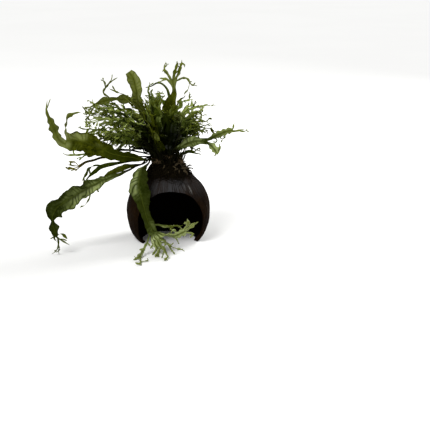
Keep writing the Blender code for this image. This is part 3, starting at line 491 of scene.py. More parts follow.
def routed_fronds():
    """The fronds that the eye picks out one by one, each along its own given route."""
    view = (0.99, -0.12, 0.0)
    upright = (0.0, -0.25, 0.97)
    slant = (-0.35, -0.25, 0.90)
    return [
        frond("front_hanging_frond",
              [(-25, -13, 99, 1.0), (-34, -28, 97, 5), (-38, -42, 89, 11), (-39, -48, 76, 12),
               (-35, -51, 62, 9.5), (-32, -53, 49, 5), (-29, -56, 37, 6), (-23, -59, 24, 5.5)],
              view, tone="grey",
              tines=[([(-30, -63, 15, 0.8), (-36, -70, 7, 0.7), (-42, -84, 1.6, 1.4)],
                      [[(-48, -91, 1.3, 0.7)], [(-41, -113, 1.3, 0.7)]]),
                     ([(-21, -66, 11, 1.8), (-19, -70, 7, 1.4)],
                      [[(-26, -77, 2, 0.5)], [(-15, -74, 3, 0.5)]]),
                     ([(-14, -71, 9, 2.2)], [[(-23, -83, 1.6, 0.8)], [(-7, -92, 1.6, 0.8)]]),
                     ([(-12, -67, 16, 2.4), (-5, -74, 12, 1.7)], [[(-2, -77, 4, 0.5)], [(5, -80, 9, 0.5)]]),
                     ([(-9, -64, 21, 2.8), (6, -71, 24, 2.2), (14, -74, 30, 2.4)],
                      [[(18, -76, 39, 1.2), (16, -76, 45, 0.5)], [(25, -78, 41, 0.6)],
                       [(24, -79, 27, 1.1)]])],
              sides=[(0.93, 1, [(-6, -66, 33, 0.7), (12, -70, 35, 0.5)], ())]),
        frond("broad_left_frond",
              [(-28, -13, 104, 1), (-45, -19, 109, 6.5), (-59, -23, 112, 7.5), (-70, -24, 115, 7),
               (-80, -25, 121, 11), (-95, -27, 128, 13), (-110, -29, 133, 13), (-123, -30, 134, 10.5)],
              upright, turn=15.0, tone="olive",
              tines=[([(-131, -31, 134, 4.5), (-135, -32, 143, 3), (-137, -32, 152, 4.8),
                       (-142, -32, 161, 1.8), (-145, -33, 172, 1)],
                      [[(-143, -33, 182, 0.5)], [(-139, -34, 184, 0.5)]]),
                     ([(-123, -29, 148, 3.4), (-121, -29, 155, 3.6), (-120, -29, 162, 2.4),
                       (-113, -31, 166, 1.6), (-103, -32, 168, 0.5)], ())]),
        frond("lower_left_long_frond",
              [(-32, -18, 101, 1), (-44, -23, 97, 1), (-59, -27, 91, 1.8), (-75, -31, 87, 3.5),
               (-89, -35, 82, 6.5), (-106, -39, 74, 10), (-123, -43, 65, 11), (-137, -46, 56, 10.5),
               (-143, -49, 48, 8), (-143, -51, 41, 3.2), (-142, -53, 33, 5.5), (-139, -57, 24, 3.5)],
              (-0.42, -0.10, 0.90), anchor=0.6, tone="grey",
              tines=[tip(-146, -59, 21),
                     ([(-136, -62, 15, 1), (-138, -63, 8, 0.8), (-145, -63, 3, 0.5)], ()),
                     ([(-131, -61, 18, 0.9), (-124, -63, 14, 0.5)], ()),
                     ([(-132, -56, 27, 0.9), (-126, -58, 20, 2)], ())],
              sides=[(0.42, -1, [(-91, -36, 73, 1), (-86, -36, 74, 0.5)], ()),
                     (0.55, -1, [(-101, -41, 59, 1), (-107, -40, 54, 0.5)], ())]),
        frond("arching_left_frond",
              [(-20, 1, 128, 0.9), (-27, -4, 156, 1.5), (-34, -6, 170, 4), (-43, -7, 177, 6),
               (-52, -7, 178, 3.4), (-59, -7, 179, 5.2), (-67, -8, 179, 2.4), (-78, -9, 177, 3.6),
               (-88, -9, 172, 1.6)],
              (0.1, -0.2, 0.97), anchor=0.6, tone="olive",
              tines=[([(-93, -11, 164, 1), (-96, -11, 157, 0.5)], ()),
                     ([(-94, -10, 169, 0.8), (-101, -10, 170, 0.5)], ())],
              sides=[(0.70, 1, [(-61, -7, 187, 0.9), (-70, -6, 191, 0.5)], ()),
                     (0.85, 1, [(-78, -9, 187, 0.9), (-74, -9, 194, 0.9), (-67, -10, 201, 0.8)],
                      [[(-66, -10, 209, 0.5)], [(-60, -11, 205, 0.5)]])]),
        frond("blunt_upright_frond",
              [(-13, 6, 125, 0.9), (-25, 3, 148, 2.5), (-34, -1, 169, 5), (-37, -2, 182, 5.5),
               (-38, -2, 194, 7.2), (-41, -3, 204, 7.5), (-46, -3, 211, 4.5)],
              view, turn=20.0, tone="olive"),
        frond("top_crested_frond",
              [(0, -2, 124, 1), (1, -2, 145, 5), (1, -2, 163, 9), (5, -3, 176, 5), (9, -3, 183, 3.5),
               (8, -3, 193, 2), (6, -3, 201, 6.5)],
              view, tone="olive",
              tines=[([(-2, -2, 201, 1.4), (-9, -1, 202, 0.5)], ()),
                     ([(1, -2, 208, 1.2), (-4, -3, 213, 0.8), (-1, -3, 222, 0.5)], ()),
                     ([(10, -3, 210, 1.5), (13, -4, 223, 0.5)], ()),
                     ([(15, -2, 209, 1.4), (18, -2, 224, 0.5)], ())],
              sides=[(0.975, 1, [(20, -5, 203, 0.9), (26, -7, 202, 0.8), (27, -8, 194, 0.8),
                                 (24, -8, 186, 0.5)], ())]),
        frond("right_reaching_frond",
              [(6, -17, 117, 0.9), (16, -22, 122, 4), (25, -27, 128, 6.5), (34, -31, 130, 6),
               (45, -36, 130, 3.5)],
              upright, tone="grey",
              tines=[([(49, -37, 126, 2.5), (53, -39, 120, 4), (58, -40, 115, 1)], [[(61, -41, 125, 0.5)]]),
                     ([(50, -37, 134, 1.6), (57, -39, 138, 2.8), (66, -41, 142, 2.6), (75, -43, 144, 2.2)],
                      [[(89, -47, 145, 0.5)], [(77, -45, 153, 0.5)]])]),
        frond("low_right_frond",
              [(11, -15, 107, 0.8), (17, -19, 112, 1.4), (24, -23, 116, 2.4), (31, -26, 115, 2)],
              upright,
              tines=[tip(39, -28, 112), tip(36, -28, 121)]),
        frond("olive_companion_frond",
              [(-27, -10, 99, 0.8), (-40, -13, 98, 1.4), (-54, -17, 97, 3.6), (-67, -20, 93, 4.6),
               (-79, -22, 86, 1.8)],
              slant, tone="olive",
              tines=[tip(-84, -23, 80), tip(-86, -22, 87)]),
        frond("second_lower_left_frond",
              [(-30, 0, 102, 0.8), (-49, -4, 101, 1.4), (-69, -8, 99, 2.4), (-81, -10, 97, 3),
               (-90, -13, 92, 3.2), (-98, -15, 85, 1)],
              slant,
              tines=[tip(-103, -17, 79)],
              sides=[(0.78, 1, [(-95, -11, 98, 1.2), (-101, -12, 88, 1.4), (-106, -13, 79, 0.5)], ())]),
        frond("small_left_lace",
              [(-24, 7, 107, 0.8), (-49, 8, 114, 1.4), (-73, 7, 112, 2), (-93, 5, 111, 2.6),
               (-103, 5, 109, 2)],
              upright, tone="pale",
              tines=[tip(-109, 3, 102), ([(-114, 4, 109, 1.2), (-125, 4, 109, 0.5)], ())]),
        frond("yellow_star_frond",
              [(-24, 14, 102, 0.8), (-49, 16, 105, 1), (-73, 14, 104, 1.5), (-92, 11, 101, 1.5),
               (-102, 9, 98, 1.8), (-110, 8, 94, 2)],
              upright, tone="yellow",
              tines=[tip(-115, 8, 88), tip(-124, 8, 90), tip(-123, 8, 96), tip(-116, 8, 101)]),
        frond("top_left_strand",
              [(-4, 13, 123, 0.8), (2, 14, 155, 2), (5, 14, 178, 2), (-1, 13, 191, 1.2), (-10, 13, 196, 1.2),
               (-17, 13, 191, 0.8), (-25, 13, 189, 0.5)],
              view, tone="pale"),
        frond("upright_left_frond",
              [(-14, -8, 128, 0.8), (-19, -10, 150, 2), (-20, -10, 167, 3.5), (-20, -10, 181, 3)],
              view, turn=25.0,
              tines=[tip(-23, -9, 193), tip(-17, -10, 191)]),
        frond("upright_middle_frond",
              [(-7, -15, 126, 0.8), (-11, -17, 148, 2.5), (-12, -17, 166, 4), (-12, -17, 176, 4)],
              view, turn=-20.0,
              tines=[tip(-17, -15, 185), tip(-13, -18, 190), tip(-10, -16, 187), tip(-5, -19, 186)]),
        frond("right_upper_lace",
              [(8, -5, 126, 0.8), (15, -8, 145, 1.6), (20, -10, 161, 3), (24, -13, 167, 2.5)],
              view, tone="pale",
              tines=[([(27, -12, 173, 1), (30, -14, 179, 0.5)], ()),
                     ([(33, -16, 169, 1), (41, -19, 170, 0.9), (50, -22, 173, 0.5)], ())]),
        frond("right_middle_lace",
              [(8, -11, 121, 0.8), (16, -16, 138, 1.6), (22, -19, 151, 2.8), (26, -19, 156, 2.6)],
              view, turn=10.0,
              tines=[([(32, -19, 162, 1.2), (40, -21, 165, 0.5)], ()),
                     ([(34, -24, 154, 0.8), (43, -26, 154, 0.5)], ()),
                     ([(33, -24, 149, 1.2), (37, -25, 144, 1), (41, -27, 136, 0.5)], ())]),
        frond("lace_left_high",
              [(-16, -4, 124, 0.8), (-37, -7, 152, 1.5), (-60, -9, 166, 3), (-77, -10, 167, 3.2)],
              (0, -0.8, 0.6), tone="pale",
              tines=[tip(-83, -12, 157), tip(-93, -12, 159), tip(-96, -10, 166), tip(-88, -10, 171)]),
        frond("lace_left_middle",
              [(-17, -10, 121, 0.8), (-42, -15, 144, 1.6), (-65, -18, 156, 3.4), (-82, -20, 156, 3.2)],
              (0, -0.7, 0.7), tone="pale",
              tines=[tip(-87, -22, 146), tip(-98, -21, 148), tip(-104, -21, 154), tip(-93, -20, 162)]),
        frond("lace_left_low",
              [(-20, -12, 116, 0.8), (-43, -17, 133, 1.6), (-65, -21, 143, 3.2), (-83, -23, 144, 3)],
              (0, -0.6, 0.8),
              tines=[tip(-95, -24, 140), tip(-107, -23, 147)]),
        frond("lace_left_back",
              [(-15, 10, 117, 0.8), (-43, 19, 143, 1.6), (-67, 26, 156, 3), (-82, 30, 157, 3)],
              (0, -0.7, 0.7), tone="pale",
              tines=[tip(-94, 35, 147), tip(-100, 35, 157), tip(-91, 33, 165)]),
        frond("lace_left_under",
              [(-19, 0, 111, 0.8), (-39, 1, 121, 1.5), (-58, 0, 130, 3), (-73, 0, 131, 3)],
              (0, -0.6, 0.8),
              tines=[tip(-76, -2, 120), tip(-86, 0, 126), tip(-86, 0, 136)]),
    ]


def lean(trial):
    """How far a crowding frond leans aside and up on its next try, in degrees: a widening spiral."""
    reach = LEAN_PER_TRIAL * math.sqrt(trial)
    return reach * math.cos(LEAN_SPIRAL * trial), reach * math.sin(LEAN_SPIRAL * trial)


def crest(end, way, across, draws):
    """Two or three tines that spread from a frond's end, each forked in two."""
    tines = []
    for angle in np.linspace(-CREST_SPREAD, CREST_SPREAD, int(draws.integers(2, 4))):
        aside = math.radians(angle + draws.uniform(-10.0, 10.0))
        out = way * math.cos(aside) + across * math.sin(aside)
        joint = end + out * draws.uniform(7.0, 13.0) + UP * draws.uniform(-4.0, 3.0)
        forks = []
        for spread in (-FORK_SPREAD, FORK_SPREAD):
            bend = aside + math.radians(spread + draws.uniform(-8.0, 8.0))
            end_of_fork = joint + (way * math.cos(bend) + across * math.sin(bend)) * draws.uniform(4.0, 8.5)
            forks.append([(*end_of_fork, TIP_HALF)])
        tines.append(([(*joint, 2.0 * TIP_HALF)], forks))
    return tines


def ring_frond(name, azimuth, lift, end_lift, length, half, start, seed):
    """A frond of the crowd: it rises steeply, arches over by its end lift, and ends in a forked crest."""
    draws = np.random.default_rng(seed)
    length = length * draws.uniform(0.85, 1.15)
    sway = draws.uniform(-SWAY, SWAY)
    steps = np.linspace(0.0, 1.0, 41)
    heading = np.radians(azimuth + sway * steps ** 2)
    rise = np.radians(lift + (end_lift - lift) * steps ** 1.3)
    ways = about_axis(np.cos(rise), heading, np.sin(rise))
    places = start[0] + start[1] * NECK_LENGTH / 2.0 + np.cumsum(ways, axis=0) * length / len(steps)
    halves = np.array([STALK_HALF, 1.2, *(half * np.array(CROWD_WIDTHS))])
    knots = np.column_stack([at_fractions(steps, places, CROWD_KNOTS), halves])
    points = np.vstack([[*start[0], STALK_HALF], knots])
    middle = heading[len(steps) // 2]
    across = np.array([-math.sin(middle), math.cos(middle), 0.0])
    tines = crest(places[-1], ways[-1], across, draws)
    tone = TONES[int(draws.integers(0, len(TONES)))]
    return frond(name, points, across, tines, anchor=0.5, turn=draws.uniform(-25.0, 25.0), tone=tone)


def ring_plan(name, number, ring, place, start, trial):
    """The numbered frond of a ring on a given try. The ring's fronds point evenly over its arc."""
    _, count, first, arc, lift, end_lift, length, half = ring
    aside, up = lean(trial)
    azimuth = first + arc * place / (count - 1) + aside
    length = length * (1.0 - RIGHT_SHORTER * max(0.0, math.cos(math.radians(azimuth))) ** 2)
    return ring_frond(name, azimuth, lift + STALK_LEAN * up, end_lift + up, length, half, start,
                      PLAN_SEED + number)


def moved_plan(plan, points, move):
    """The plan on other points, with its tines moved by a rule for their rows."""
    def moved(forked):
        return [(*where, move(rows), [move(fork) for fork in forks]) for *where, rows, forks in forked]

    return dict(plan, points=points, tines=moved(plan["tines"]), sides=moved(plan["sides"]))


def with_bud(plan, start, trial):
    """A routed frond joined to its bud, and moved to or from the viewer by the step of the given try, as the
    part's source moved it where it would touch another.
    """
    shift = np.append(VIEW_BACK * ((trial + 1) // 2 * (1 if trial % 2 else -1) * VIEW_STEP), 0.0)

    def shifted(rows):
        rows = np.array(rows, float) + shift
        rows[:, 2] = np.maximum(rows[:, 2], LOWEST)
        return rows

    points = plan["points"] + np.minimum(1.0, np.arange(len(plan["points"])) / 2.0)[:, None] * shift
    neck = start[0] + start[1] * NECK_LENGTH
    points = np.vstack([[*start[0], STALK_HALF], [*neck, STALK_HALF], points])
    return moved_plan(plan, points, shifted)


def cousin(plan, draws, smallest, wide, turned_by, bare):
    """A smaller frond beside the plan's: the same routes, turned a few degrees about the bud and drawn in.

    A share of them are bare: young blades that end in a plain tip.
    """
    start = plan["points"][0, :3]
    axis = unit(draws.normal(size=3))
    angle = math.radians(draws.uniform(0.35, 1.0) * turned_by)
    scale = draws.uniform(smallest, 0.96)
    width = wide * draws.uniform(0.82, 1.18)

    def drawn_in(rows):
        rows = np.array(rows, float)
        way = rows[:, :3] - start
        turned = (way * math.cos(angle) + np.cross(axis, way) * math.sin(angle)
                  + axis * (way @ axis)[:, None] * (1.0 - math.cos(angle)))
        places = start + turned * scale
        places[:, 2] = np.maximum(places[:, 2], LOWEST)
        return np.column_stack([places, rows[:, 3] * width])

    other = moved_plan(plan, drawn_in(plan["points"]), drawn_in)
    other["sides"] = ()
    other["tint"] = draws.uniform(*TINTS)
    if draws.random() < bare:
        other["points"][-2:, 3] *= (0.8, 0.08)
        other["tines"] = ()
    return other


def cad_points(name):
    """A CAD node's points, in millimetres from the foot of the shell's axis."""
    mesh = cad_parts[name].data
    places = np.empty(len(mesh.vertices) * 3, np.float32)
    mesh.vertices.foreach_get("co", places)
    return np.unique(np.round(places.reshape(-1, 3) / MM - AXIS, 3), axis=0)


def misfit(plan, solid):
    """How far on average the plan's rows lie from the nearest points of the CAD node."""
    fractions, table, _ = read_path(plan)
    wanted, _ = lengths_along(plan["points"])
    rows = at_fractions(fractions, table, wanted)[:, :3]
    return np.linalg.norm(rows[:, None] - solid[None], axis=2).min(axis=1).mean()


def fitted(name, buds, make_plan, *known):
    """The plan on the bud and with the lean that the CAD node took, which are those that miss it least."""
    solid = cad_points(name)
    starts = np.array([bud[0] for bud in buds])
    reach = np.linalg.norm(starts[:, None] - solid[None], axis=2).min(axis=1)
    likely = [buds[number] for number in np.argsort(reach)[:2]]
    plans = [make_plan(*known, bud, trial) for bud in likely for trial in range(LEANS_TRIED)]
    misses = [misfit(plan, solid) for plan in plans]
    best = int(np.argmin(misses))
    if misses[best] > WORST_MISFIT:
        raise RuntimeError(f"{name} doesn't match its CAD node: {misses[best]:.2f} mm away")
    return plans[best]


def routed_plans():
    """Plans of the routed fronds as they stand in the frame."""
    buds = all_buds()
    return [fitted(plan["name"], buds, with_bud, plan) for plan in routed_fronds()]


def crowd_plans():
    """Plans of the crowd's fronds as they stand in the frame, numbered on from the routed ones."""
    buds = all_buds()
    before = len(routed_fronds())
    plans = []
    for ring in RINGS:
        for place in range(ring[1]):
            name = f"{ring[0]}_frond_{place + 1}"
            plans.append(fitted(name, buds, ring_plan, name, before + len(plans), ring, place))
    return plans


class Leaf:
    """A frond's surface, gathered grid by grid. A grid that grows out of another shares its points.

    Each point has a place and six marks: across from -1 to 1, side vein number, tip from 0 to 1, stalk from
    0 to 1, thickness in mm, and tint, from -1 where the leaf is dark to 1 where it is pale; the material
    shows the dark end as painted shade and the pale end as painted highlights on the pillows. Stray is how
    far, in mm, its tines wander from their plans, paler is how much paler than the blade they are, and facing
    is a direction that they turn their width to.
    """

    def __init__(self, stray, paler=0.0, facing=(0.0, 0.0, 0.0)):
        self.stray = stray
        self.paler = paler
        self.facing = np.array(facing)
        self.places = []
        self.quads = []
        self.marks = []
        self.count = 0

    def lay(self, places, marks, start=None):
        """Add a grid of points, rows by columns, and join it to the start row if it grows from one."""
        shape = places.shape[:2]
        numbers = self.count + np.arange(shape[0] * shape[1]).reshape(shape)
        self.count += numbers.size
        self.places.append(places.reshape(-1, 3))
        self.marks.append(marks.reshape(-1, 6))
        grid = {"numbers": numbers, "places": places, "marks": marks}
        if start is not None:
            grid = {key: np.concatenate([start[key][None], rows]) for key, rows in grid.items()}
        numbers = grid["numbers"]
        quads = [numbers[:-1, :-1], numbers[:-1, 1:], numbers[1:, 1:], numbers[1:, :-1]]
        self.quads.append(np.stack(quads, axis=-1).reshape(-1, 4))
        return grid

    def surface(self):
        """All its grids as points, quads and marks."""
        return np.concatenate(self.places), np.concatenate(self.quads), np.concatenate(self.marks)


def piece_of(grid, rows, columns):
    """A run of a grid's points, as the row that another grid starts from."""
    return {key: points[rows, columns] for key, points in grid.items()}


def margin_run(grid, first, last, right):
    """A run of a grid's left or right margin, as the row that a side tine starts from."""
    if right:
        return piece_of(grid, slice(last, first - 1, -1), -1)
    return piece_of(grid, slice(first, last + 1), 0)


def shared_out(cells, number):
    """The first and last column of each tine, where a number of them share a row of cells."""
    cuts = np.round(np.linspace(0, cells, number + 1)).astype(int)
    return zip(cuts[:-1], cuts[1:])


def lobes(run, draws):
    """A margin's swelling along the blade: three waves of falling length and height with random starts."""
    total = np.ones_like(run)
    for length, height in LOBES:
        length = length * draws.uniform(0.8, 1.25)
        total += height * swing(run / length + draws.uniform())
    return total


def ruffles(run, draws):
    """A margin's rise and fall: two waves with random starts, of which the long one swells and fades."""
    slow = swing(run / draws.uniform(15.0, 21.0) + draws.uniform())
    fast = swing(run / draws.uniform(7.0, 9.0) + draws.uniform())
    swell = 0.6 + 0.4 * swing(run / 41.0 + draws.uniform())
    return slow * swell + 0.18 * fast


def each_margin(make, run, draws, place):
    """What a rule gives for the left margin, over the blade's left half, and for the right one likewise."""
    left = make(run, draws)
    right = make(run, draws)
    return np.where(place < 0.0, left[:, None], right[:, None])


def wander(run, draws, reach):
    """How far a path strays from its route: a wave of 12 to 22 mm in each of three random directions."""
    total = np.zeros((len(run), 3))
    for _ in range(3):
        way = unit(draws.normal(size=3))
        total += swing(run / draws.uniform(12.0, 22.0) + draws.uniform())[:, None] * way
    return reach * total * smooth(0.0, 14.0, run)[:, None]


def tinted(plan, share, place):
    """The blade's tint: the frond's own, and patches that are boxes in length and width with soft sides.

    Most patches are painted highlight and painted shade: one side of a blade paler, the other darker.
    """
    tint = np.full(np.broadcast(share, place).shape, plan["tint"])
    for first, last, low, high, amount in TINT_AND_LIGHT_PATCHES.get(plan["name"], ()):
        along = smooth(first - 0.04, first + 0.04, share) * smooth(last + 0.04, last - 0.04, share)
        aside = smooth(low - 0.14, low + 0.14, place) * smooth(high + 0.14, high - 0.14, place)
        tint = tint + amount * along * aside
    return np.clip(tint, -1.0, 1.0)


def over_rows(shares, half, ways):
    """Steps away from a path at each point of a grid: shares of each row's half width along the row's way."""
    return (shares * half[:, None])[:, :, None] * ways[:, None, :]


def blade(leaf, plan, look, draws, cells, step):
    """The frond's blade from its bud to where it forks.

    Along its smooth path, each row runs from margin to margin. A point's height over the row is the keel's
    fold, a curl that falls with the square of the way out, pillows between slanting side veins, and margins
    that ruffle with the cube of the way out.
    """
    name = plan["name"]
    fractions, table, length = read_path(plan)
    reading = at_fractions(fractions, table, np.linspace(0.0, 1.0, max(10, int(length / step)) + 1))
    run = np.linspace(0.0, length, len(reading))
    share = (run / length)[:, None]
    half = reading[:, 3]
    centres = reading[:, :3] + wander(run, draws, STRAY_ALONE if plan["alone"] else STRAY_IN_CROWD)
    place = np.linspace(-1.0, 1.0, cells + 1)[None, :]
    out = np.abs(place)
    width = 1.0 + (each_margin(lobes, run, draws, place) - 1.0) * smooth(0.9, 3.0, half)[:, None]
    for where, spread, amount in SWELLS.get(name, ()):
        width = width * (1.0 + amount * np.exp(-((share - where) / spread) ** 2))
    warp = 0.45 * swing(run / 19.0 + draws.uniform() + 0.15 * np.sign(place.T)).T
    vein = (run[:, None] - VEIN_SLANT * out * half[:, None]) / (look.vein_spacing / MM)
    vein = vein + 0.2 * np.sign(place) + warp
    pillow = np.abs(np.sin(math.pi * vein)) ** 0.75 * np.sin(math.pi * np.clip(out * 1.08, 0.0, 1.0)) ** 0.7
    wave = each_margin(ruffles, run, draws, place)
    quilting = look.quilting * QUILTED.get(name, QUILTED_ELSE)
    height = FOLD * out - CURLS.get(name, draws.uniform(*CURLS_ELSE)) * out ** 2
    height = height + smooth(1.4, 4.5, half)[:, None] * (quilting * pillow + look.ruffle * wave * out ** 3)
    stalk = ((1.0 - smooth(1.2, 2.6, half)) * (run < run[int(np.argmax(half))]))[:, None]
    thickness = look.thickness / MM * (1.0 - 0.35 * out ** 4)
    marks = (place, vein, 0.30 * smooth(0.6, 1.0, share), stalk, thickness, tinted(plan, share, place))
    places = (centres[:, None] + over_rows(place * width, half, unit(reading[:, 4:7]))
              + over_rows(height, half, unit(reading[:, 7:10])))
    return leaf.lay(places, np.stack(np.broadcast_arrays(*marks), axis=-1))


def strip(leaf, start, knots, draws, taper, step=0.9, curl=0.0):
    """A tine from part of a row: rows of the start's width change to the path's own half widths.

    The rows are carried along a smooth path through the knots, which strays from them in two random waves.
    The side direction is the start row's, led towards the leaf's facing and squared to the path. Half widths
    swell and shrink a little at random. A tapering tine closes to a tip, and some swell to a knob before it.
    """
    row = start["places"]
    centre = (row[0] + row[-1]) / 2.0
    span = row[-1] - row[0]
    first_half = np.linalg.norm(span) / 2.0
    path = rounded(np.vstack([[*centre, first_half], knots]), passes=3)
    fractions, length = lengths_along(path)
    count = max(4, int(length / step))
    wanted = np.linspace(0.0, 1.0, count + 1)
    run = wanted * length
    reading = at_fractions(fractions, path, wanted)
    for _ in range(2):
        way = unit(draws.normal(size=3))
        phase = run / draws.uniform(10.0, 18.0) + draws.uniform()
        stray = (swing(phase) - swing(phase[0])) * smooth(0.0, 5.0, run)
        reading[:, :3] += leaf.stray * stray[:, None] * way
    reading[:, 2] = np.maximum(reading[:, 2], LOWEST)
    ways = unit(np.gradient(reading[:, :3], axis=0) + 1e-9)
    led = 2.0 * leaf.facing * np.sign(span @ leaf.facing)
    across = unit(span) + led * smooth(0.1, 0.7, wanted)[:, None]
    sides = unit(across - ways * (ways * across).sum(axis=1, keepdims=True))
    faces = np.cross(ways, sides)
    angle = (math.radians(curl) * wanted)[:, None]
    turned = sides * np.cos(angle) + faces * np.sin(angle)
    faces = faces * np.cos(angle) - sides * np.sin(angle)
    swell = 0.22 * swing(run / draws.uniform(6.0, 10.0) + draws.uniform())
    half = reading[:, 3] * (1.0 + swell * smooth(0.0, 0.3, wanted))
    if taper:
        knob = max(0.0, draws.uniform(-0.5, 0.5)) * np.exp(-((wanted - 0.84) / 0.12) ** 2)
        close = np.clip(1.0 - smooth(draws.uniform(0.5, 0.85), 1.03, wanted), 0.0, 1.0) ** 0.6
        half = np.maximum(half * (1.0 + knob) * close, 0.12)
    place = np.linspace(-1.0, 1.0, len(row))
    cup = 0.25 * place ** 2 * math.sin(draws.uniform(-1.5, 1.5))
    ideal = reading[:, None, :3] + over_rows(place, half, turned) + over_rows(cup, half, faces)
    carried = row[None] + (reading[:, :3] - centre)[:, None, :]
    ease = smooth(0.0, min(1.0, 2.5 * max(first_half, 0.5) / length), wanted)[:, None, None]
    marks = np.repeat(start["marks"][None], count, axis=0)
    base = start["marks"][:, 2].mean()
    marks[:, :, 0] = place * 0.8
    marks[:, :, 1] = 0.5
    marks[:, :, 2] = base + (1.0 - base) * (0.75 if taper else 0.4) * wanted[1:, None]
    marks[:, :, 3] = 0.0
    marks[:, :, 5] += draws.normal(leaf.paler, TINE_TINTS) * smooth(0.0, 0.5, wanted[1:, None])
    return leaf.lay((ideal * ease + carried * (1.0 - ease))[1:], marks, start)


def knots_out(start, ways, length, halves):
    """A tine's knots: equal steps along its ways from the middle of its start row, with half widths."""
    centre = (start["places"][0] + start["places"][-1]) / 2.0
    return np.column_stack([centre + np.cumsum(unit(ways), axis=0) * length / len(ways), halves])


def shoots(leaf, grid, draws, number, reach, half, first):
    """Small side tines that leave both margins of a grid, bend aside at random, and sometimes fork again."""
    rows = len(grid["numbers"])
    turns = (np.arange(number) + draws.uniform(0.1, 0.9, number)) / max(number, 1)
    for place in first + (0.93 - first) * turns:
        here = int(place * rows)
        if here + 3 >= rows or here < 1:
            continue
        right = draws.random() < 0.5
        row = grid["places"][here]
        outward = unit(row[-1] - row[0]) * (1.0 if right else -1.0)
        onward = unit(grid["places"][here + 2].mean(axis=0) - row.mean(axis=0))
        twig(leaf, margin_run(grid, here, here + 2, right), outward, onward, draws, reach, half)


def twig(leaf, start, outward, onward, draws, reach, half):
    """One side tine: it leaves the margin slanting forward, curls in and out of its plane, and may fork."""
    face = np.cross(onward, outward)
    length = reach * draws.uniform(0.5, 1.25)
    slant = math.radians(draws.uniform(15.0, 60.0))
    bend = math.radians(draws.normal(0.0, 85.0))
    lift = draws.normal(0.0, 0.8)
    steps = np.linspace(0.2, 1.0, 5)[:, None]
    angles = slant + bend * steps
    ways = onward * np.cos(angles) + outward * np.sin(angles) + face * lift * np.sin(3.5 * steps)
    halves = half * draws.uniform(0.8, 1.3) * np.array([0.8, 1.0, 0.95, 0.85, 0.7])
    fork = draws.random() < 0.5 and length > 3.0
    knots = knots_out(start, ways, length, halves)
    grid = strip(leaf, start, knots, draws, taper=not fork, curl=draws.normal(0.0, 40.0))
    if fork:
        split(leaf, grid, draws, length * 0.55, half * 0.75)


def split(leaf, grid, draws, reach, half):
    """A tine's end divided into two fingers that spread apart."""
    columns = len(grid["numbers"][-1])
    middle = (columns - 1) // 2
    if middle < 1:
        return
    onward = unit(grid["places"][-1].mean(axis=0) - grid["places"][-3].mean(axis=0))
    outward = unit(grid["places"][-1, -1] - grid["places"][-1, 0])
    for sign, part in ((-1.0, slice(0, middle + 1)), (1.0, slice(middle, columns))):
        start = piece_of(grid, -1, part)
        angle = math.radians(draws.uniform(18.0, 48.0)) * sign
        bend = math.radians(draws.normal(0.0, 35.0))
        length = reach * draws.uniform(0.6, 1.15)
        steps = np.linspace(0.33, 1.0, 3)[:, None]
        face = np.cross(onward, outward) * draws.normal(0.0, 0.4)
        ways = onward * np.cos(angle + bend * steps) + outward * np.sin(angle + bend * steps) + face * steps
        knots = knots_out(start, ways, length, np.array([1.0, 0.9, 0.7]) * half)
        strip(leaf, start, knots, draws, taper=True)


def tine(leaf, start, points, forks, draws, lace, fat):
    """A tine of the plan, its forks, and the small shoots along them."""
    knots = np.array(points, float)
    knots[:, 3] *= fat
    grid = strip(leaf, start, knots, draws, taper=not forks, step=1.1)
    _, length = lengths_along(grid["places"].mean(axis=1))
    if lace > 0.0 and length > 4.0:
        spacing, reach, half = TINE_SHOOTS
        number = int(round(lace * length / spacing))
        shoots(leaf, grid, draws, number, reach, half * math.sqrt(fat), first=0.2)
    for (near, far), fork in zip(shared_out(len(start["numbers"]) - 1, len(forks)), forks):
        if far > near:
            tine(leaf, piece_of(grid, -1, slice(near, far + 1)), fork, (), draws, lace, fat)


def grown(plan, look, seed, cells, step, lace, sprouts):
    """One frond's surface and rib, with small shoots on its tines and sprouts on its blade's margins."""
    draws = np.random.default_rng(seed)
    name = plan["name"]
    leaf = Leaf(STRAY_ALONE if plan["alone"] else TINE_STRAY, *CREST_LOOKS.get(name, ()))
    fat = FATTER.get(name, FATTER_ELSE)
    grid = blade(leaf, plan, look, draws, cells, step)
    last = len(grid["numbers"]) - 1
    around = max(1, int(SIDE_START / step))
    for fraction, margin, points, forks in plan["sides"]:
        here = min(int(fraction * last), last - 1 - around)
        start = margin_run(grid, here - around, here + around, margin > 0)
        tine(leaf, start, points, forks, draws, lace, fat)
    for (near, far), (points, forks) in zip(shared_out(cells, len(plan["tines"])), plan["tines"]):
        tine(leaf, piece_of(grid, -1, slice(near, far + 1)), points, forks, draws, lace, fat)
    if sprouts > 0.0:
        *_, length = read_path(plan)
        spacing, reach, half = BLADE_SHOOTS
        shoots(leaf, grid, draws, int(sprouts * length / spacing), reach, half, first=0.45)
    return leaf.surface(), rib(grid)


def rib(grid):
    """The stalk and midrib: a tube along the blade's middle that thins from the bud to the crest."""
    middle = grid["places"].shape[1] // 2
    share = np.linspace(0.0, 1.0, len(grid["places"]))
    keep = share <= RIB_END
    radii = 0.28 + 0.67 * (1.0 - smooth(0.0, 0.75, share[keep]))
    points, quads = tubes_along(grid["places"][keep, middle][None], radii[None], 8)
    marks = np.zeros((len(radii), 8, 5))
    marks[:, :, 1] = 0.5
    marks[:, :, 2] = 0.2
    marks[:, :, 3] = grid["marks"][keep, middle, 3][:, None]
    return points, quads, marks.reshape(-1, 5)


def gathered(parts):
    """Several sets of points, quads and marks as one."""
    points, quads, *marks = zip(*parts)
    starts = np.cumsum([0] + [len(places) for places in points[:-1]])
    quads = [faces + start for faces, start in zip(quads, starts)]
    return [np.concatenate(rows) for rows in (points, quads, *marks)]


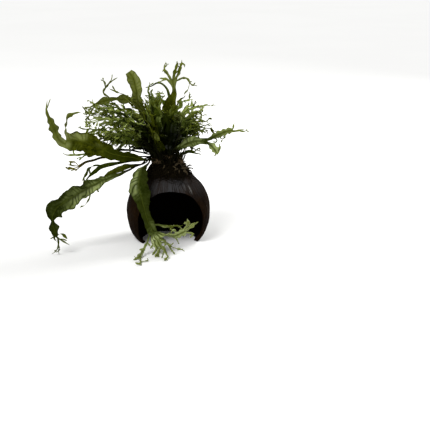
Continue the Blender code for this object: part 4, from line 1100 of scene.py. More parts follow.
def solid_mesh(name, surface, tubes):
    """A closed mesh: the surface moved half its thickness both ways along its normals, with a rim round it.

    The tubes are closed meshes of their own beside it.
    """
    places, quads, marks = surface
    places[:, 2] = np.maximum(places[:, 2], 0.5 * LOWEST)
    corner = places[quads]
    facing = np.cross(corner[:, 2] - corner[:, 0], corner[:, 3] - corner[:, 1])
    normals = np.zeros_like(places)
    for place in range(4):
        np.add.at(normals, quads[:, place], facing)
    normals = normals / np.maximum(np.linalg.norm(normals, axis=1, keepdims=True), 1e-12)
    shift = normals * marks[:, 4:5] / 2.0
    edges = np.concatenate([quads[:, [place, (place + 1) % 4]] for place in range(4)])
    keys = np.sort(edges, axis=1) @ (len(places), 1)
    _, first, counts = np.unique(keys, return_index=True, return_counts=True)
    rim = edges[first[counts == 1]]
    count = len(places)
    faces = np.concatenate([quads, quads[:, ::-1] + count, np.column_stack([rim[:, ::-1], rim + count])])
    notes = marks[:, [0, 1, 2, 3, 5]]
    both = (np.concatenate([places + shift, places - shift]), faces, np.concatenate([notes, notes]))
    return mesh_from(name, *gathered([both, *tubes]))


def mesh_from(name, points, quads, marks=None):
    """A smooth mesh of quads from millimetres about the shell's axis, with its marks as attributes."""
    mesh = bpy.data.meshes.new(name)
    points = ((points + AXIS) * MM).astype(np.float32)
    mesh.vertices.add(len(points))
    mesh.vertices.foreach_set("co", points.ravel())
    quads = np.ascontiguousarray(quads, dtype=np.int32)
    mesh.loops.add(quads.size)
    mesh.loops.foreach_set("vertex_index", quads.ravel())
    mesh.polygons.add(len(quads))
    mesh.polygons.foreach_set("loop_start", np.arange(0, quads.size, 4, dtype=np.int32))
    mesh.polygons.foreach_set("use_smooth", np.ones(len(quads), bool))
    mesh.update(calc_edges=True)
    mesh.validate()
    if marks is not None:
        marks = marks.astype(np.float32)
        held = mesh.attributes.new("leaf", "FLOAT_VECTOR", "POINT")
        held.data.foreach_set("vector", marks[:, :3].ravel())
        for label, column in (("stalk", 3), ("tint", 4)):
            held = mesh.attributes.new(label, "FLOAT", "POINT")
            held.data.foreach_set("value", marks[:, column].copy())
    return mesh


def wrapped(points):
    """Points and quads of grids whose rows close on themselves. Their last axes are rows, columns, place."""
    numbers = np.arange(points.size // 3).reshape(-1, *points.shape[-3:-1])
    onward = np.roll(numbers, -1, axis=2)
    quads = np.stack([numbers[:, :-1], onward[:, :-1], onward[:, 1:], numbers[:, 1:]], axis=-1)
    return points.reshape(-1, 3), quads.reshape(-1, 4)


def tubes_along(paths, radii, sides):
    """Tubes with round sections, all at once: paths is tubes by steps by 3, and radii tubes by steps.

    The section's first direction is square to the path and to a fixed slanting line, and each end is closed
    by its last ring, drawn together to a point.
    """
    ways = unit(np.gradient(paths, axis=1) + 1e-9)
    aside = unit(np.cross(ways, np.array([0.31, 0.23, 0.92])))
    up = np.cross(ways, aside)
    angles = np.linspace(0.0, FULL_TURN, sides, endpoint=False)
    ring = aside[:, :, None] * np.cos(angles)[:, None] + up[:, :, None] * np.sin(angles)[:, None]
    radii = radii.copy()
    radii[:, [0, -1]] = 0.01
    return wrapped(paths[:, :, None] + ring * radii[:, :, None, None])


def roughened(paths, radii, sides, sizes, heights, draws):
    """Tubes with bumpy skins: waves of the given sizes in mm, with heights that are shares of the radius."""
    points, quads = tubes_along(paths, radii, sides)
    rings = points.reshape(*radii.shape, sides, 3)
    bumps = sum(height * waves(rings, size, draws) for size, height in zip(sizes, heights))
    rings = rings + (rings - paths[:, :, None]) * bumps[..., None]
    return rings.reshape(-1, 3), quads


def waves(points, size, draws, terms=9):
    """Smooth random heights at points: a sum of sine waves of about that length in random directions."""
    total = np.zeros(points.shape[:-1])
    for _ in range(terms):
        way = unit(draws.normal(size=3)) * FULL_TURN / (size * draws.uniform(0.7, 1.6))
        total += np.sin(points @ way + draws.uniform(0.0, FULL_TURN))
    return total / math.sqrt(terms)


def wall_section(radius, rise, rows):
    """The wall's section from the top of the axis to the floor: a round arc above, a fuller curve below."""
    angles = np.linspace(math.pi / 2.0, math.asin(-SHELL_CENTRE / rise), rows + 1)
    power = np.where(angles > 0.0, 2.0, SHELL_BARREL)
    out = (1.0 - np.abs(np.sin(angles)) ** power) ** (1.0 / power)
    section = np.column_stack([radius * out, SHELL_CENTRE + rise * np.sin(angles)])
    section[0, 0] = 0.0
    section[-1, 1] = 0.0
    return section


def turned_wall(look):
    """The coconut without its doorway: its section, out and back, turned about the axis and dented."""
    outer = wall_section(SHELL_RADIUS, SHELL_RISE, 60)
    inner = wall_section(SHELL_RADIUS - SHELL_WALL, SHELL_RISE - SHELL_WALL, 30)
    section = np.vstack([outer, inner[::-1]])[:, None]
    angles = np.linspace(0.0, FULL_TURN, 144, endpoint=False)
    points = about_axis(section[..., 0], angles, section[..., 1])
    draws = np.random.default_rng(WALL_SEED)
    dent = (0.5 * waves(points, 26.0, draws) + 0.18 * waves(points, 9.0, draws)) * look.dent / MM
    dent[len(outer):] *= 0.6
    level = smooth(0.0, 6.0, points[..., 2])
    points += unit(points - UP * SHELL_CENTRE + 1e-9) * (dent * level)[..., None]
    points, quads = wrapped(points)
    return points, quads[:, ::-1]


def doorway(draws):
    """The doorway's prism, as a closed grid: its squarish outline, cut by hand and so a little uneven."""
    angles = np.linspace(0.0, FULL_TURN, 96, endpoint=False)
    power = 2.0 / np.where(np.sin(angles) > 0.0, DOOR_TOP_SQUARENESS, DOOR_FOOT_SQUARENESS)
    across = DOOR_HALF_WIDTH * np.sign(np.cos(angles)) * np.abs(np.cos(angles)) ** power
    rise = DOOR_HALF_HEIGHT * np.sign(np.sin(angles)) * np.abs(np.sin(angles)) ** power
    uneven = 1.0 + 0.006 * np.sin(7.0 * angles + 1.0) + 0.004 * np.sin(17.0 * angles + draws.uniform())
    narrowing = DOOR_BACK - DOOR_NARROWS
    depths = np.append(np.linspace(DOOR_FRONT, DOOR_BACK - 12.0, 5), np.linspace(narrowing, DOOR_BACK, 7))
    depths = depths[:, None]
    low = smooth(DOOR_NARROW_HEIGHT, 0.0, DOOR_CENTRE + rise)
    narrower = 1.0 - 0.10 * smooth(narrowing, DOOR_BACK, depths) * low
    points = (across * uneven * narrower, depths, DOOR_CENTRE + rise * uneven)
    points = np.stack(np.broadcast_arrays(*points), axis=-1)
    middle = points.mean(axis=1, keepdims=True)
    ends = middle + (points - middle) * 0.001
    return wrapped(np.concatenate([ends[:1], points, ends[-1:]]))


def cleaned(mesh):
    """The mesh with its poles merged and its faces outward."""
    shape = bmesh.new()
    shape.from_mesh(mesh)
    bmesh.ops.remove_doubles(shape, verts=shape.verts, dist=0.02 * MM)
    bmesh.ops.recalc_face_normals(shape, faces=shape.faces)
    shape.to_mesh(mesh)
    shape.free()
    return mesh


def shell_mesh(look):
    """The coconut with its doorway cut out, and a small bevel along the cut."""
    wall = added("wall", cleaned(mesh_from("coconut_wall", *turned_wall(look))))
    cutter = added("cutter", cleaned(mesh_from("doorway", *doorway(np.random.default_rng(DOOR_SEED)))))
    cut = wall.modifiers.new("doorway", "BOOLEAN")
    cut.object = cutter
    bevel = wall.modifiers.new("worn edge", "BEVEL")
    bevel.width = 0.6 * MM
    bevel.segments = 2
    bevel.angle_limit = math.radians(50.0)
    bpy.context.view_layer.update()
    finished = bpy.data.meshes.new_from_object(wall.evaluated_get(bpy.context.evaluated_depsgraph_get()))
    for piece in (wall, cutter):
        bpy.data.objects.remove(piece, do_unlink=True)
    return finished


def paint_inside(mesh):
    """Give the second material to the faces of the inner wall, which face the axis or the hollow's middle."""
    readings = []
    for name in ("center", "normal"):
        held = np.empty(len(mesh.polygons) * 3, np.float32)
        mesh.polygons.foreach_get(name, held)
        readings.append(held.reshape(-1, 3))
    centres, normals = readings
    centres = centres / MM - AXIS - UP * SHELL_CENTRE
    inward = (centres * normals).sum(axis=1) < -0.5 * np.linalg.norm(centres, axis=1)
    radius = np.linalg.norm(centres * np.array([1.0, 1.0, SHELL_RADIUS / SHELL_RISE]), axis=1)
    edge = (centres[:, 1] < DOOR_BACK + 0.5) & (normals[:, 1] < 0.08)
    inside = inward & (radius < SHELL_RADIUS - 1.0) & ~edge
    mesh.polygons.foreach_set("material_index", inside.astype(np.int32))
    mesh.polygons.foreach_set("use_smooth", np.ones(len(inside), bool))
    mesh.set_sharp_from_angle(angle=math.radians(38.0))


def mound(draws):
    """The root mat: a lumpy dome, closed underneath. Its rows run from its top over the edge to below."""
    rows = 44
    top = np.linspace(0.0, 1.0, rows)[:, None]
    below = np.linspace(0.97, 0.0, 14)[:, None]
    angles = np.linspace(0.0, FULL_TURN, 120, endpoint=False)[None]
    edge = MAT_RADIUS * (1.0 + 0.05 * np.sin(5.0 * angles + 0.6) + 0.035 * np.sin(9.0 * angles + 2.1))
    radius = np.concatenate([top * edge, below * edge])
    upper = mat_height(np.minimum(radius[:rows], MAT_RADIUS))
    points = about_axis(radius, angles, np.concatenate([upper, shell_height(radius[rows:]) + 0.1]))
    lumps = 1.1 * waves(points[:rows], 7.5, draws) + 0.55 * waves(points[:rows], 3.2, draws)
    lift = np.clip(lumps - 0.6, -2.2, 1.2) * smooth(1.02, 0.86, top)
    points[:rows, :, 2] = np.maximum(upper + lift, shell_height(radius[:rows]) + 0.35)
    points, quads = wrapped(points)
    return points, quads[:, [0, 3, 2, 1]]


def root_strands(count, draws):
    """Loose roots: each starts on the mat, wanders outward and down over it, and creeps on over the shell."""
    each = (count, 1)
    steps = np.linspace(0.0, 1.0, 15)[None]
    start = np.sqrt(draws.uniform(0.02, 1.0, each)) * ROOT_START
    reach = draws.uniform(3.0, 15.0, each) * (0.6 + 0.4 * start / ROOT_START)
    radius = np.minimum(start + reach * steps, ROOT_LIMIT)
    turn = draws.normal(0.0, 0.5, each) * steps + 0.12 * np.sin(
        6.0 * steps * draws.uniform(0.5, 1.5, each) + draws.uniform(0.0, 6.3, each))
    angle = draws.uniform(0.0, FULL_TURN, each) + turn
    height = ground(radius) + 0.3 + draws.uniform(-0.5, 1.6, each) * np.sin(math.pi * steps) ** 2
    radii = draws.uniform(0.22, 0.55, each) * (1.0 - 0.65 * steps)
    return tubes_along(about_axis(radius, angle, height), radii, 5)


def old_stumps(count, draws):
    """Stumps of old stems and dead stalks on the mat, most of them at its right: short, thick, bent tubes."""
    each = (count, 1)
    steps = np.linspace(0.0, 1.0, 9)[None]
    start = draws.uniform(12.0, 25.0, each)
    angle = draws.normal(-0.45, 0.60, each)
    length = draws.uniform(4.0, 11.0, each)
    heading = angle + draws.normal(0.0, 0.9, each) + draws.normal(0.0, 0.8, each) * steps
    rise = draws.uniform(-0.2, 1.1, each) - draws.uniform(0.3, 1.5, each) * steps
    ways = about_axis(np.cos(rise), heading, np.sin(rise))
    foot = about_axis(start, angle, mat_height(start))
    paths = foot + np.cumsum(ways, axis=1) * (length / steps.size)[..., None]
    radius = np.hypot(paths[..., 0], paths[..., 1])
    paths[..., 2] = np.maximum(paths[..., 2], ground(radius) + 0.2)
    radii = draws.uniform(0.35, 1.15, each) * (1.0 - 0.55 * steps)
    return roughened(paths, radii, 8, (2.0,), (0.40,), draws)


def rhizome_tube(path, draws):
    """A creeping stem: a tube along the route with knobs, rough with old leaf bases."""
    fractions, length = lengths_along(path)
    wanted = np.linspace(0.0, 1.0, 70)
    ends = np.sqrt(np.clip(1.0 - (2.0 * wanted - 1.0) ** 16, 0.0, 1.0))
    radii = RHIZOME_RADIUS * (1.0 + 0.14 * swing(wanted * length / 4.2)) * ends
    middle = at_fractions(fractions, path, wanted)
    return roughened(middle[None], radii[None], 22, (3.4, 1.5), (0.13, 0.07), draws)


def hairs_on(points, count, draws, reach):
    """Short root hairs that stand off a surface's points and droop."""
    roots = points[draws.integers(0, len(points), count)]
    steps = np.linspace(0.0, 1.0, 8)[None, :, None]
    outward = unit(draws.normal(size=(count, 3)) + UP * 0.2)[:, None]
    length = reach * draws.uniform(0.4, 1.2, (count, 1, 1))
    droop = UP * -0.5 * steps ** 2
    sway = draws.normal(size=(count, 1, 3)) * 0.35 * np.sin(math.pi * steps)
    paths = roots[:, None] + length * (outward * steps + droop + sway)
    radii = draws.uniform(0.12, 0.26, (count, 1)) * (1.0 - 0.6 * steps[..., 0])
    return tubes_along(paths, radii, 4)


def crown_stalks(count, draws):
    """Old stalks that crowd up from the mat: each leans outward as it rises, and sways a little."""
    each = (count, 1)
    steps = np.linspace(0.0, 1.0, 14)[None]
    start = np.sqrt(draws.uniform(0.0, 1.0, each)) * STALK_CIRCLE
    angle = draws.uniform(0.0, FULL_TURN, each)
    length = draws.uniform(10.0, 30.0, each)
    radius = start + (0.10 + 0.35 * start / STALK_CIRCLE) * length * steps ** 1.6
    angle = angle + draws.normal(0.0, 0.25, each) * steps
    paths = about_axis(radius, angle, mat_height(start) - 0.8 + length * steps)
    paths[..., 0] += 0.8 * np.sin(5.0 * steps + draws.uniform(0.0, 6.3, each))
    paths[..., 1] += 0.8 * np.cos(4.0 * steps + draws.uniform(0.0, 6.3, each))
    radii = draws.uniform(0.45, 0.85, each) * (1.0 - 0.55 * steps)
    return tubes_along(paths, radii, 6)


def put(tree, socket, value):
    """Link a socket to another node's, or set it to a value. A colour's three parts get an alpha of one."""
    if isinstance(value, bpy.types.NodeSocket):
        tree.links.new(value, socket)
    elif socket.type == "RGBA":
        socket.default_value = (*value, 1.0)
    else:
        socket.default_value = value


def wire(tree, kind, inputs, **settings):
    """A node with its settings, and with each of its named or numbered sockets set or linked."""
    made = tree.nodes.new(kind)
    for name, value in settings.items():
        setattr(made, name, value)
    for name, value in inputs.items():
        put(tree, made.inputs[name], value)
    return made


def maths(tree, operation, *values):
    """The result of a Math node."""
    return wire(tree, "ShaderNodeMath", dict(enumerate(values)), operation=operation).outputs[0]


def times(tree, product, *others):
    """The product of several values."""
    for other in others:
        product = maths(tree, "MULTIPLY", product, other)
    return product


def ramped(tree, value, low, high, to_low=0.0, to_high=1.0):
    """A value brought smoothly from one range to another."""
    inputs = {"Value": value, "From Min": low, "From Max": high, "To Min": to_low, "To Max": to_high}
    return wire(tree, "ShaderNodeMapRange", inputs, interpolation_type="SMOOTHSTEP").outputs["Result"]


def layered(tree, colour, *layers):
    """A colour with layers over it: each is how much of it shows, and its colour."""
    for share, paint in layers:
        inputs = {"Factor": share, 6: colour, 7: paint}
        colour = wire(tree, "ShaderNodeMix", inputs, data_type="RGBA").outputs[2]
    return colour


def object_place(tree):
    """The place on the object."""
    return wire(tree, "ShaderNodeTexCoord", {}).outputs["Object"]


def away_from(tree, place):
    """The distance from a fixed place."""
    inputs = {0: object_place(tree), 1: place}
    return wire(tree, "ShaderNodeVectorMath", inputs, operation="DISTANCE").outputs["Value"]


def vector_maths(tree, operation, inputs):
    """The vector that a Vector Math node gives."""
    return wire(tree, "ShaderNodeVectorMath", inputs, operation=operation).outputs[0]


def axes_of(tree, vector):
    """The three parts of a vector."""
    return wire(tree, "ShaderNodeSeparateXYZ", {0: vector}).outputs


def mark(tree, name, kind="Fac"):
    """One of the marks that the mesh holds at its points."""
    return wire(tree, "ShaderNodeAttribute", {}, attribute_name=name).outputs[kind]


def noise(tree, place, size, detail, roughness=0.5):
    """Noise whose features have about that size in metres."""
    inputs = {"Vector": place, "Scale": maths(tree, "DIVIDE", 1.0, size), "Detail": detail,
              "Roughness": roughness}
    return wire(tree, "ShaderNodeTexNoise", inputs).outputs["Fac"]


def leaf_veins(group, given):
    """Side veins and midrib of a blade from its marks: creases, the pillows between them, the rib's line."""
    out = maths(group, "ABSOLUTE", given["Across"])
    wave = maths(group, "ABSOLUTE", maths(group, "SINE", times(group, given["Vein"], math.pi)))
    return {"Crease": times(group, ramped(group, wave, 0.42, 0.0), ramped(group, out, 1.0, 0.7)),
            "Pillow": times(group, wave, ramped(group, out, 0.1, 0.4), ramped(group, out, 1.0, 0.75)),
            "Rib": ramped(group, out, 0.13, 0.03)}


def mottled_colour(group, given):
    """A colour that wanders between three over the object, with large patches and small flecks."""
    place = object_place(group)
    patch = ramped(group, noise(group, place, given["Patch Size"], 3.0), 0.36, 0.64)
    fleck = ramped(group, noise(group, place, given["Fleck Size"], 4.0, 0.62), 0.35, 0.72)
    flecked = (times(group, fleck, 0.55), given["Light"])
    colour = layered(group, given["Deep"], (patch, given["Main"]), flecked)
    return {"Color": colour, "Patch": patch, "Fleck": fleck}


def cell_grain(group, given):
    """Fine relief for a Bump node's height: a net of small cells, with noise over it."""
    place = object_place(group)
    scale = maths(group, "DIVIDE", 1.0, given["Cell Size"])
    cells = wire(group, "ShaderNodeTexVoronoi", {"Vector": place, "Scale": scale, "Randomness": 1.0})
    rough = noise(group, place, given["Cell Size"], 3.0)
    return {"Height": maths(group, "MULTIPLY_ADD", rough, given["Noise Share"], cells.outputs["Distance"])}


def down_fibres(group, given):
    """Fibres that run down a round object from the top: noise that is stretched along each meridian."""
    away = vector_maths(group, "SUBTRACT", {0: object_place(group), 1: given["Centre"]})
    x, y, z = axes_of(group, away)
    level = wire(group, "ShaderNodeCombineXYZ", {"X": x, "Y": y}).outputs[0]
    round_way = vector_maths(group, "NORMALIZE", {0: level})
    wide = vector_maths(group, "SCALE", {0: round_way, "Scale": 0.05})
    low = wire(group, "ShaderNodeCombineXYZ", {"Z": times(group, z, given["Stretch"])}).outputs[0]
    place = vector_maths(group, "ADD", {0: wide, 1: low})
    return {"Fibre": noise(group, place, given["Fibre Width"], 3.0, 0.6)}


# Shared effects: what works each out, and its inputs with their defaults
EFFECTS = {
    "Leaf veins": (leaf_veins, {"Across": 0.0, "Vein": 0.0}),
    "Mottled colour": (mottled_colour, {
        "Patch Size": 0.03, "Fleck Size": 0.004, "Deep": (0.0, 0.0, 0.0, 1.0), "Main": (0.5, 0.5, 0.5, 1.0),
        "Light": (1.0, 1.0, 1.0, 1.0)}),
    "Cell grain": (cell_grain, {"Cell Size": 0.0015, "Noise Share": 0.5}),
    "Down-running fibres": (down_fibres, {"Centre": (0.0, 0.0, 0.0), "Fibre Width": 0.0012, "Stretch": 0.06}),
}
SOCKET_KINDS = {1: "NodeSocketFloat", 3: "NodeSocketVector", 4: "NodeSocketColor"}


def effect(name):
    """The shared node group of that name, made on first use with its named inputs and outputs."""
    if name in bpy.data.node_groups:
        return bpy.data.node_groups[name]
    make, inputs = EFFECTS[name]
    group = bpy.data.node_groups.new(name, "ShaderNodeTree")
    for label, default in inputs.items():
        kind = SOCKET_KINDS[np.size(default)]
        group.interface.new_socket(label, in_out="INPUT", socket_type=kind).default_value = default
    results = make(group, group.nodes.new("NodeGroupInput").outputs)
    for label in results:
        kind = SOCKET_KINDS[4 if label == "Color" else 1]
        group.interface.new_socket(label, in_out="OUTPUT", socket_type=kind)
    wire(group, "NodeGroupOutput", results)
    return group


def placed(tree, name, **values):
    """Outputs of a shared effect with its own values: underscores in their names stand for spaces."""
    inputs = {label.replace("_", " "): value for label, value in values.items()}
    return wire(tree, "ShaderNodeGroup", inputs, node_tree=effect(name)).outputs


def mottled(tree, patch, fleck, deep, main, light):
    """The mottled colour's outputs: sizes of the patches and flecks, and the three colours."""
    return placed(tree, "Mottled colour", Patch_Size=patch, Fleck_Size=fleck, Deep=deep, Main=main,
                  Light=light)


def relief(tree, cell, share, depth, strength=1.0, fibre=None):
    """Bump from the cell grain. Fibres, where there are any, are added to it 2.2 times as strong."""
    height = placed(tree, "Cell grain", Cell_Size=cell, Noise_Share=share)["Height"]
    if fibre is not None:
        height = maths(tree, "MULTIPLY_ADD", fibre, 2.2, height)
    inputs = {"Height": height, "Distance": depth, "Strength": strength}
    return wire(tree, "ShaderNodeBump", inputs).outputs["Normal"]


def scaled(colour, by):
    """A colour made darker or lighter."""
    return tuple(by * part for part in colour)


def new_material(name):
    """A material and its tree."""
    finish = bpy.data.materials.new(name)
    finish.use_nodes = True
    return finish, finish.node_tree


def painted(finish, **values):
    """The material with its shader's sockets set or linked: underscores in their names stand for spaces."""
    tree = finish.node_tree
    for label, value in values.items():
        put(tree, tree.nodes["Principled BSDF"].inputs[label.replace("_", " ")], value)
    return finish


def leaf_material(tone, look):
    """A frond's finish: mottled green, paler pillows painted as highlights, creases darkened with painted
    shade, a lighter rib, bright tips, dark stalks. Where the tint is pale the pillows show the painted
    highlights, and where it is dark the leaf takes painted shade.

    It darkens towards the crown: partly painted shade where the blades crowd, partly old and stained blades.
    """
    deep, main, fleck, pillow, darkening, creased = LEAF_TONES[tone]
    finish, tree = new_material(f"java_fern_{tone}")
    across, vein, youth = axes_of(tree, mark(tree, "leaf", "Vector"))
    veins = placed(tree, "Leaf veins", Across=across, Vein=vein)
    mottle = mottled(tree, 0.028, 0.0045, deep, main, fleck)
    tint = mark(tree, "tint")
    pale = ramped(tree, tint, 0.0, 1.0)
    dark = ramped(tree, tint, 0.0, -1.0)
    patchy = ramped(tree, mottle["Patch"], 0.0, 1.0, 0.0, 0.8 * creased)
    # Painted shade: how strongly the creases along the side veins are darkened with the deep colour, more in
    # some patches than in others.
    worn = ramped(tree, mottle["Patch"], 0.25, 0.75, 1.4 * creased, 0.3 * creased)
    # Painted highlights: the pillows between the side veins take the pale pillow colour where the tint is
    # pale, and unevenly in patches.
    pillow_highlight = times(tree, veins["Pillow"], maths(tree, "MULTIPLY_ADD", pale, 1.25 * creased, patchy))
    pillow_highlight = maths(tree, "MULTIPLY_ADD", pale, 0.78 - 0.9 * creased, pillow_highlight)
    pillow_highlight = times(tree, pillow_highlight, maths(tree, "SUBTRACT", 1.0, dark))
    # Painted shade, with some real age: the blades darken towards the crown, where they crowd and shade one
    # another and the oldest are stained.
    old = ramped(tree, away_from(tree, spot(CROWN)), 0.064, 0.026, 0.0, darkening)
    colour = layered(
        tree, mottle["Color"],
        (pillow_highlight, pillow),
        (times(tree, dark, 0.85), LEAF_SHADE),
        (times(tree, veins["Crease"], worn), deep),
        (times(tree, veins["Rib"], 0.45), look.rib),
        (times(tree, ramped(tree, youth, 0.25, 1.0), 0.65), look.tip),
        (old, scaled(deep, 0.3)),
        (mark(tree, "stalk"), look.stalk))
    gloss = times(tree, maths(tree, "MULTIPLY_ADD", veins["Pillow"], 0.65, 0.05), pale)
    return painted(
        finish, Base_Color=colour, Roughness=ramped(tree, mottle["Fleck"], 0.0, 1.0, 0.60, 0.44),
        Coat_Weight=gloss, Coat_Roughness=0.22, Normal=relief(tree, 0.0016, 0.6, 0.0003, 0.6),
        Specular_IOR_Level=0.003)


def husk_material(look):
    """The coconut's outside: fibres down a near-black husk, red-brown in worn patches.

    Above the doorway and on the right shoulder it is grey: partly dust, partly a painted sheen.
    """
    finish, tree = new_material("coconut_husk")
    foot = spot((0.0, 0.0, 0.0))
    mottle = mottled(tree, 0.022, 0.003, look.husk, look.rust, scaled(look.husk, 0.6))
    fibre = placed(tree, "Down-running fibres", Centre=foot, Fibre_Width=0.0009, Stretch=0.05)["Fibre"]
    x, y, z = axes_of(tree, object_place(tree))
    side = maths(tree, "ABSOLUTE", maths(tree, "SUBTRACT", x, foot[0] - 0.002))
    # Grey dust with a painted sheen: a band over the doorway's brow and a patch on the right shoulder,
    # streaked along the fibres.
    brow = times(
        tree, ramped(tree, z, 0.058, 0.070), ramped(tree, z, 0.088, 0.078),
        ramped(tree, y, foot[1] - 0.012, foot[1] - 0.034), ramped(tree, side, 0.032, 0.018),
        ramped(tree, fibre, 0.38, 0.62, 0.15, 0.95))
    shoulder = times(
        tree, ramped(tree, x, foot[0] + 0.014, foot[0] + 0.032), ramped(tree, z, 0.052, 0.074),
        ramped(tree, fibre, 0.35, 0.65, 0.1, 0.45))
    scratches = times(
        tree, ramped(tree, away_from(tree, spot(SCUFF)), 0.009, 0.003), ramped(tree, fibre, 0.53, 0.58), 0.8)
    colour = layered(
        tree, mottle["Color"],
        (times(tree, ramped(tree, fibre, 0.42, 0.66), 0.5), scaled(look.husk, 0.5)),
        (maths(tree, "MAXIMUM", brow, shoulder), look.dust_and_sheen),
        (scratches, SCRATCH))
    return painted(
        finish, Base_Color=colour, Roughness=ramped(tree, fibre, 0.35, 0.7, 0.48, 0.70),
        Normal=relief(tree, 0.0022, 1.2, 0.0005, 0.8, fibre), Specular_IOR_Level=0.003)


def dull_material(name, sizes, colours, rough, grain, mirror):
    """A rough mottled finish with fine relief.

    Sizes are those of the patches and flecks, colours the mottle's three, rough the lowest and the highest
    roughness, grain the relief's cell size, noise share and depth, and mirror how strongly it mirrors.
    """
    finish, tree = new_material(name)
    mottle = mottled(tree, *sizes, *colours)
    return painted(
        finish, Base_Color=mottle["Color"], Roughness=ramped(tree, mottle["Fleck"], 0.0, 1.0, *rough),
        Normal=relief(tree, *grain), Specular_IOR_Level=mirror)


def shaded_inside_material(look):
    """The shell's inside: almost black as painted shade for the hollow, dull and lumpy."""
    colours = (look.inside, look.inside, scaled(look.inside, 1.8))
    return dull_material("shell_inside", (0.018, 0.003), colours, (0.75, 0.95), (0.003, 1.0, 0.0005), 0.0)


def root_material(name, colour):
    """Roots and stems: fibrous dark brown with lighter scurf."""
    colours = (scaled(colour, 0.45), colour, SCURF[name])
    return dull_material(name, (0.009, 0.0016), colours, (0.7, 0.9), (0.0014, 1.3, 0.0006), 0.005)


def added(name, data):
    """A new object in the scene."""
    piece = bpy.data.objects.new(name, data)
    bpy.context.scene.collection.objects.link(piece)
    return piece


def fit_out(name, mesh, materials, node):
    """An object at the origin with its materials, that rides on the body and stands for its CAD node."""
    piece = added(name, mesh)
    for finish in materials:
        mesh.materials.append(finish)
    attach(piece, "root")
    if node:
        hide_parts(node)


def dress_frond(plan, parts, look):
    """The frond and its cousins as one piece in the plan's tone, in place of its CAD node."""
    surfaces, ribs = zip(*parts)
    name = plan["name"]
    tone = plan["tone"]
    mesh = solid_mesh(name, gathered(surfaces), ribs)
    finish = bpy.data.materials.get(f"java_fern_{tone}") or leaf_material(tone, look)
    fit_out(f"{name}_leaf", mesh, [finish], name)


def build_floor(look):
    """A wide pale floor, a little uneven in tone."""
    mesh = bpy.data.meshes.new("floor")
    corners = [(x * FLOOR_REACH, y * FLOOR_REACH, 0.0) for x, y in ((-1, -1), (1, -1), (1, 1), (-1, 1))]
    mesh.from_pydata(corners, [], [(0, 1, 2, 3)])
    finish, tree = new_material("pale_floor")
    mottle = mottled(tree, 0.5, 0.02, look.floor, scaled(look.floor, 0.985), look.floor)
    mesh.materials.append(painted(finish, Base_Color=mottle["Color"], Roughness=0.85, Specular_IOR_Level=0.0))
    floor = added("pale_floor", mesh)


def light(kind, name, place, target, strength, **settings):
    """A light that shines from a place to a target."""
    lamp = bpy.data.lights.new(name, kind)
    lamp.energy = strength
    for label, value in settings.items():
        setattr(lamp, label, value)
    source = added(name, lamp)
    source.location = place
    source.rotation_euler = (Vector(target) - Vector(place)).to_track_quat("-Z", "Y").to_euler()


def studio(strength):
    """The white room: its light is even all round, and it shows as white behind the floor."""
    world = bpy.data.worlds.new("studio")
    world.use_nodes = True
    tree = world.node_tree
    seen = wire(tree, "ShaderNodeLightPath", {}).outputs["Is Camera Ray"]
    background = tree.nodes["Background"]
    put(tree, background.inputs["Strength"], maths(tree, "MAXIMUM", seen, strength))
    put(tree, background.inputs["Color"], (1.0, 1.0, 1.0))
    return world


def set_camera(context):
    """The photograph's view: a little to the left of the front and above it."""
    lens = bpy.data.cameras.new("camera")
    lens.lens = CAMERA_LENS
    camera = added("camera", lens)
    camera.location = spot(CAMERA_PLACE)
    camera.rotation_euler = (math.radians(90.0 - CAMERA_RISE), 0.0, math.radians(CAMERA_AZIMUTH))
    context.scene.camera = camera


class FERN_OT_shell(bpy.types.Operator):
    """Make the coconut shell with its doorway"""

    bl_idname = "fern.shell"
    bl_label = "Coconut Shell"
    bl_options = {"REGISTER", "UNDO"}

    def execute(self, context):
        look = context.scene.fern_shell
        mesh = shell_mesh(look)
        mesh.materials.clear()
        finishes = [husk_material(look), shaded_inside_material(look)]
        fit_out("coconut_shell_husk", mesh, finishes, "coconut_shell")
        paint_inside(mesh)
        return {"FINISHED"}


class FERN_OT_root_mat(bpy.types.Operator):
    """Make the mat of roots on top of the shell, with its loose roots and old stumps"""

    bl_idname = "fern.root_mat"
    bl_label = "Root Mat"
    bl_options = {"REGISTER", "UNDO"}

    def execute(self, context):
        look = context.scene.fern_shell
        draws = np.random.default_rng(MAT_SEED)
        finish = root_material("matted_roots", look.root)
        mesh = cleaned(mesh_from("root_mound", *mound(draws)))
        fit_out("root_mat_mound", mesh, [finish], "root_mat")
        mesh = mesh_from("root_strands", *root_strands(look.strands, draws))
        fit_out("root_strands", mesh, [finish], None)
        mesh = mesh_from("old_stumps", *old_stumps(look.stumps, draws))
        fit_out("old_stumps", mesh, [root_material("old_stumps", look.stump)], None)
        return {"FINISHED"}


class FERN_OT_rhizomes(bpy.types.Operator):
    """Make the three creeping stems that the fronds grow from"""

    bl_idname = "fern.rhizomes"
    bl_label = "Rhizomes"
    bl_options = {"REGISTER", "UNDO"}

    def execute(self, context):
        draws = np.random.default_rng(RHIZOME_SEED)
        finish = root_material("creeping_stem", context.scene.fern_shell.rhizome)
        for name, path in rhizome_routes().items():
            points, quads = rhizome_tube(path, draws)
            hairs = hairs_on(points, RHIZOME_HAIRS, draws, HAIR_REACH)
            mesh = mesh_from(name, *gathered([(points, quads), hairs]))
            fit_out(f"{name}_stem", mesh, [finish], name)
        return {"FINISHED"}


class FERN_OT_stalks(bpy.types.Operator):
    """Make the old stalks that crowd up from the mat"""

    bl_idname = "fern.stalks"
    bl_label = "Old Stalks"
    bl_options = {"REGISTER", "UNDO"}

    def execute(self, context):
        look = context.scene.fern_shell
        mesh = mesh_from("old_stalks", *crown_stalks(look.stalks, np.random.default_rng(STALK_SEED)))
        fit_out("old_stalks", mesh, [root_material("old_stalks", look.root)], None)
        return {"FINISHED"}


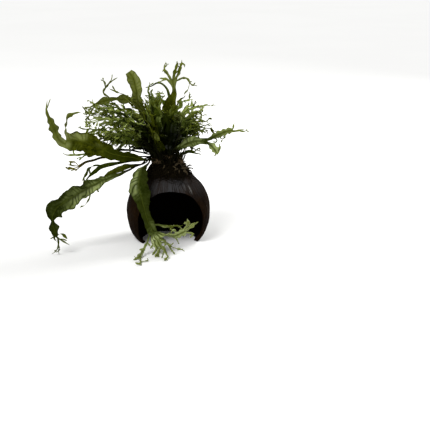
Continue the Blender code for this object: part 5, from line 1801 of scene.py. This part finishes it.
class FERN_OT_routed_fronds(bpy.types.Operator):
    """Make the fronds that the eye picks out one by one"""

    bl_idname = "fern.routed_fronds"
    bl_label = "Single Fronds"
    bl_options = {"REGISTER", "UNDO"}

    def execute(self, context):
        look = context.scene.fern_fronds
        for number, plan in enumerate(routed_plans()):
            name = plan["name"]
            lacy = name in LACY
            plan["alone"] = not lacy
            lace, plan["tint"] = LACY.get(name, (CRESTED.get(name, CRESTED_ELSE), 0.0))
            sprouts = lace if lacy else 0.0
            parts = [grown(plan, look, SINGLE_SEED + number, *SINGLE_GRID, lace, sprouts)]
            draws = np.random.default_rng(LACY_SEED + number)
            for other in range(look.cousins if lacy else 0):
                near = cousin(plan, draws, *LACY_COUSINS)
                seed = LACY_COUSIN_SEED + 10 * number + other
                parts.append(grown(near, look, seed, *CROWD_GRID, lace, sprouts))
            dress_frond(plan, parts, look)
        return {"FINISHED"}


class FERN_OT_crowd_fronds(bpy.types.Operator):
    """Make the crowd of fronds behind and between the single ones"""

    bl_idname = "fern.crowd_fronds"
    bl_label = "Crowd of Fronds"
    bl_options = {"REGISTER", "UNDO"}

    def execute(self, context):
        look = context.scene.fern_fronds
        for number, plan in enumerate(crowd_plans()):
            cousins, *measures, lace, sprouts, tints = HABITS[plan["name"].split("_")[0]]
            draws = np.random.default_rng(RING_SEED + number)
            plan["tint"] = draws.uniform(*tints)
            parts = [grown(plan, look, CROWD_SEED + number, *CROWD_GRID, lace, sprouts)]
            for other in range(cousins):
                near = cousin(plan, draws, *measures)
                near["tint"] = draws.uniform(*tints)
                seed = CROWD_COUSIN_SEED + 10 * number + other
                parts.append(grown(near, look, seed, *COUSIN_GRID, lace, sprouts))
            dress_frond(plan, parts, look)
        return {"FINISHED"}


class FERN_OT_stage(bpy.types.Operator):
    """Set the pale floor, the soft lights and the camera"""

    bl_idname = "fern.stage"
    bl_label = "Stage"
    bl_options = {"REGISTER", "UNDO"}

    def execute(self, context):
        look = context.scene.fern_stage
        build_floor(look)
        light("SUN", "key", (-0.70, -0.75, 1.10), (0.0, 0.0, 0.0), look.key, angle=math.radians(32.0))
        light("AREA", "rim", (0.95, 0.60, 0.80), (0.0, 0.0, 0.12), look.rim, size=0.60)
        context.scene.world = studio(look.sky)
        context.scene.view_settings.view_transform = "Standard"
        set_camera(context)
        return {"FINISHED"}


class FERN_PT_panel(bpy.types.Panel):
    """Lists the pieces of the java fern and its settings"""

    bl_label = "Java Fern"
    bl_idname = "FERN_PT_panel"
    bl_space_type = "VIEW_3D"
    bl_region_type = "UI"
    bl_category = "Java Fern"

    def draw(self, context):
        for name in SETTINGS:
            settings = getattr(context.scene, name)
            box = self.layout.box()
            for label in settings.__annotations__:
                box.prop(settings, label)
        column = self.layout.column(align=True)
        for operator in OPERATORS:
            column.operator(operator.bl_idname)


OPERATORS = (FERN_OT_shell, FERN_OT_root_mat, FERN_OT_rhizomes, FERN_OT_stalks, FERN_OT_routed_fronds,
             FERN_OT_crowd_fronds, FERN_OT_stage)
SETTINGS = {"fern_shell": FernShellSettings, "fern_fronds": FernFrondSettings,
            "fern_stage": FernStageSettings}
CLASSES = (*SETTINGS.values(), *OPERATORS, FERN_PT_panel)


def register():
    for made in CLASSES:
        bpy.utils.register_class(made)
    for name, settings in SETTINGS.items():
        setattr(bpy.types.Scene, name, bpy.props.PointerProperty(type=settings))


def unregister():
    for name in SETTINGS:
        delattr(bpy.types.Scene, name)
    for made in reversed(CLASSES):
        bpy.utils.unregister_class(made)


def main():
    register()
    bpy.ops.fern.shell()
    bpy.ops.fern.root_mat()
    bpy.ops.fern.rhizomes()
    bpy.ops.fern.stalks()
    bpy.ops.fern.routed_fronds()
    bpy.ops.fern.crowd_fronds()
    bpy.ops.fern.stage()
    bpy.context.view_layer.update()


if __name__ == "__main__":
    main()
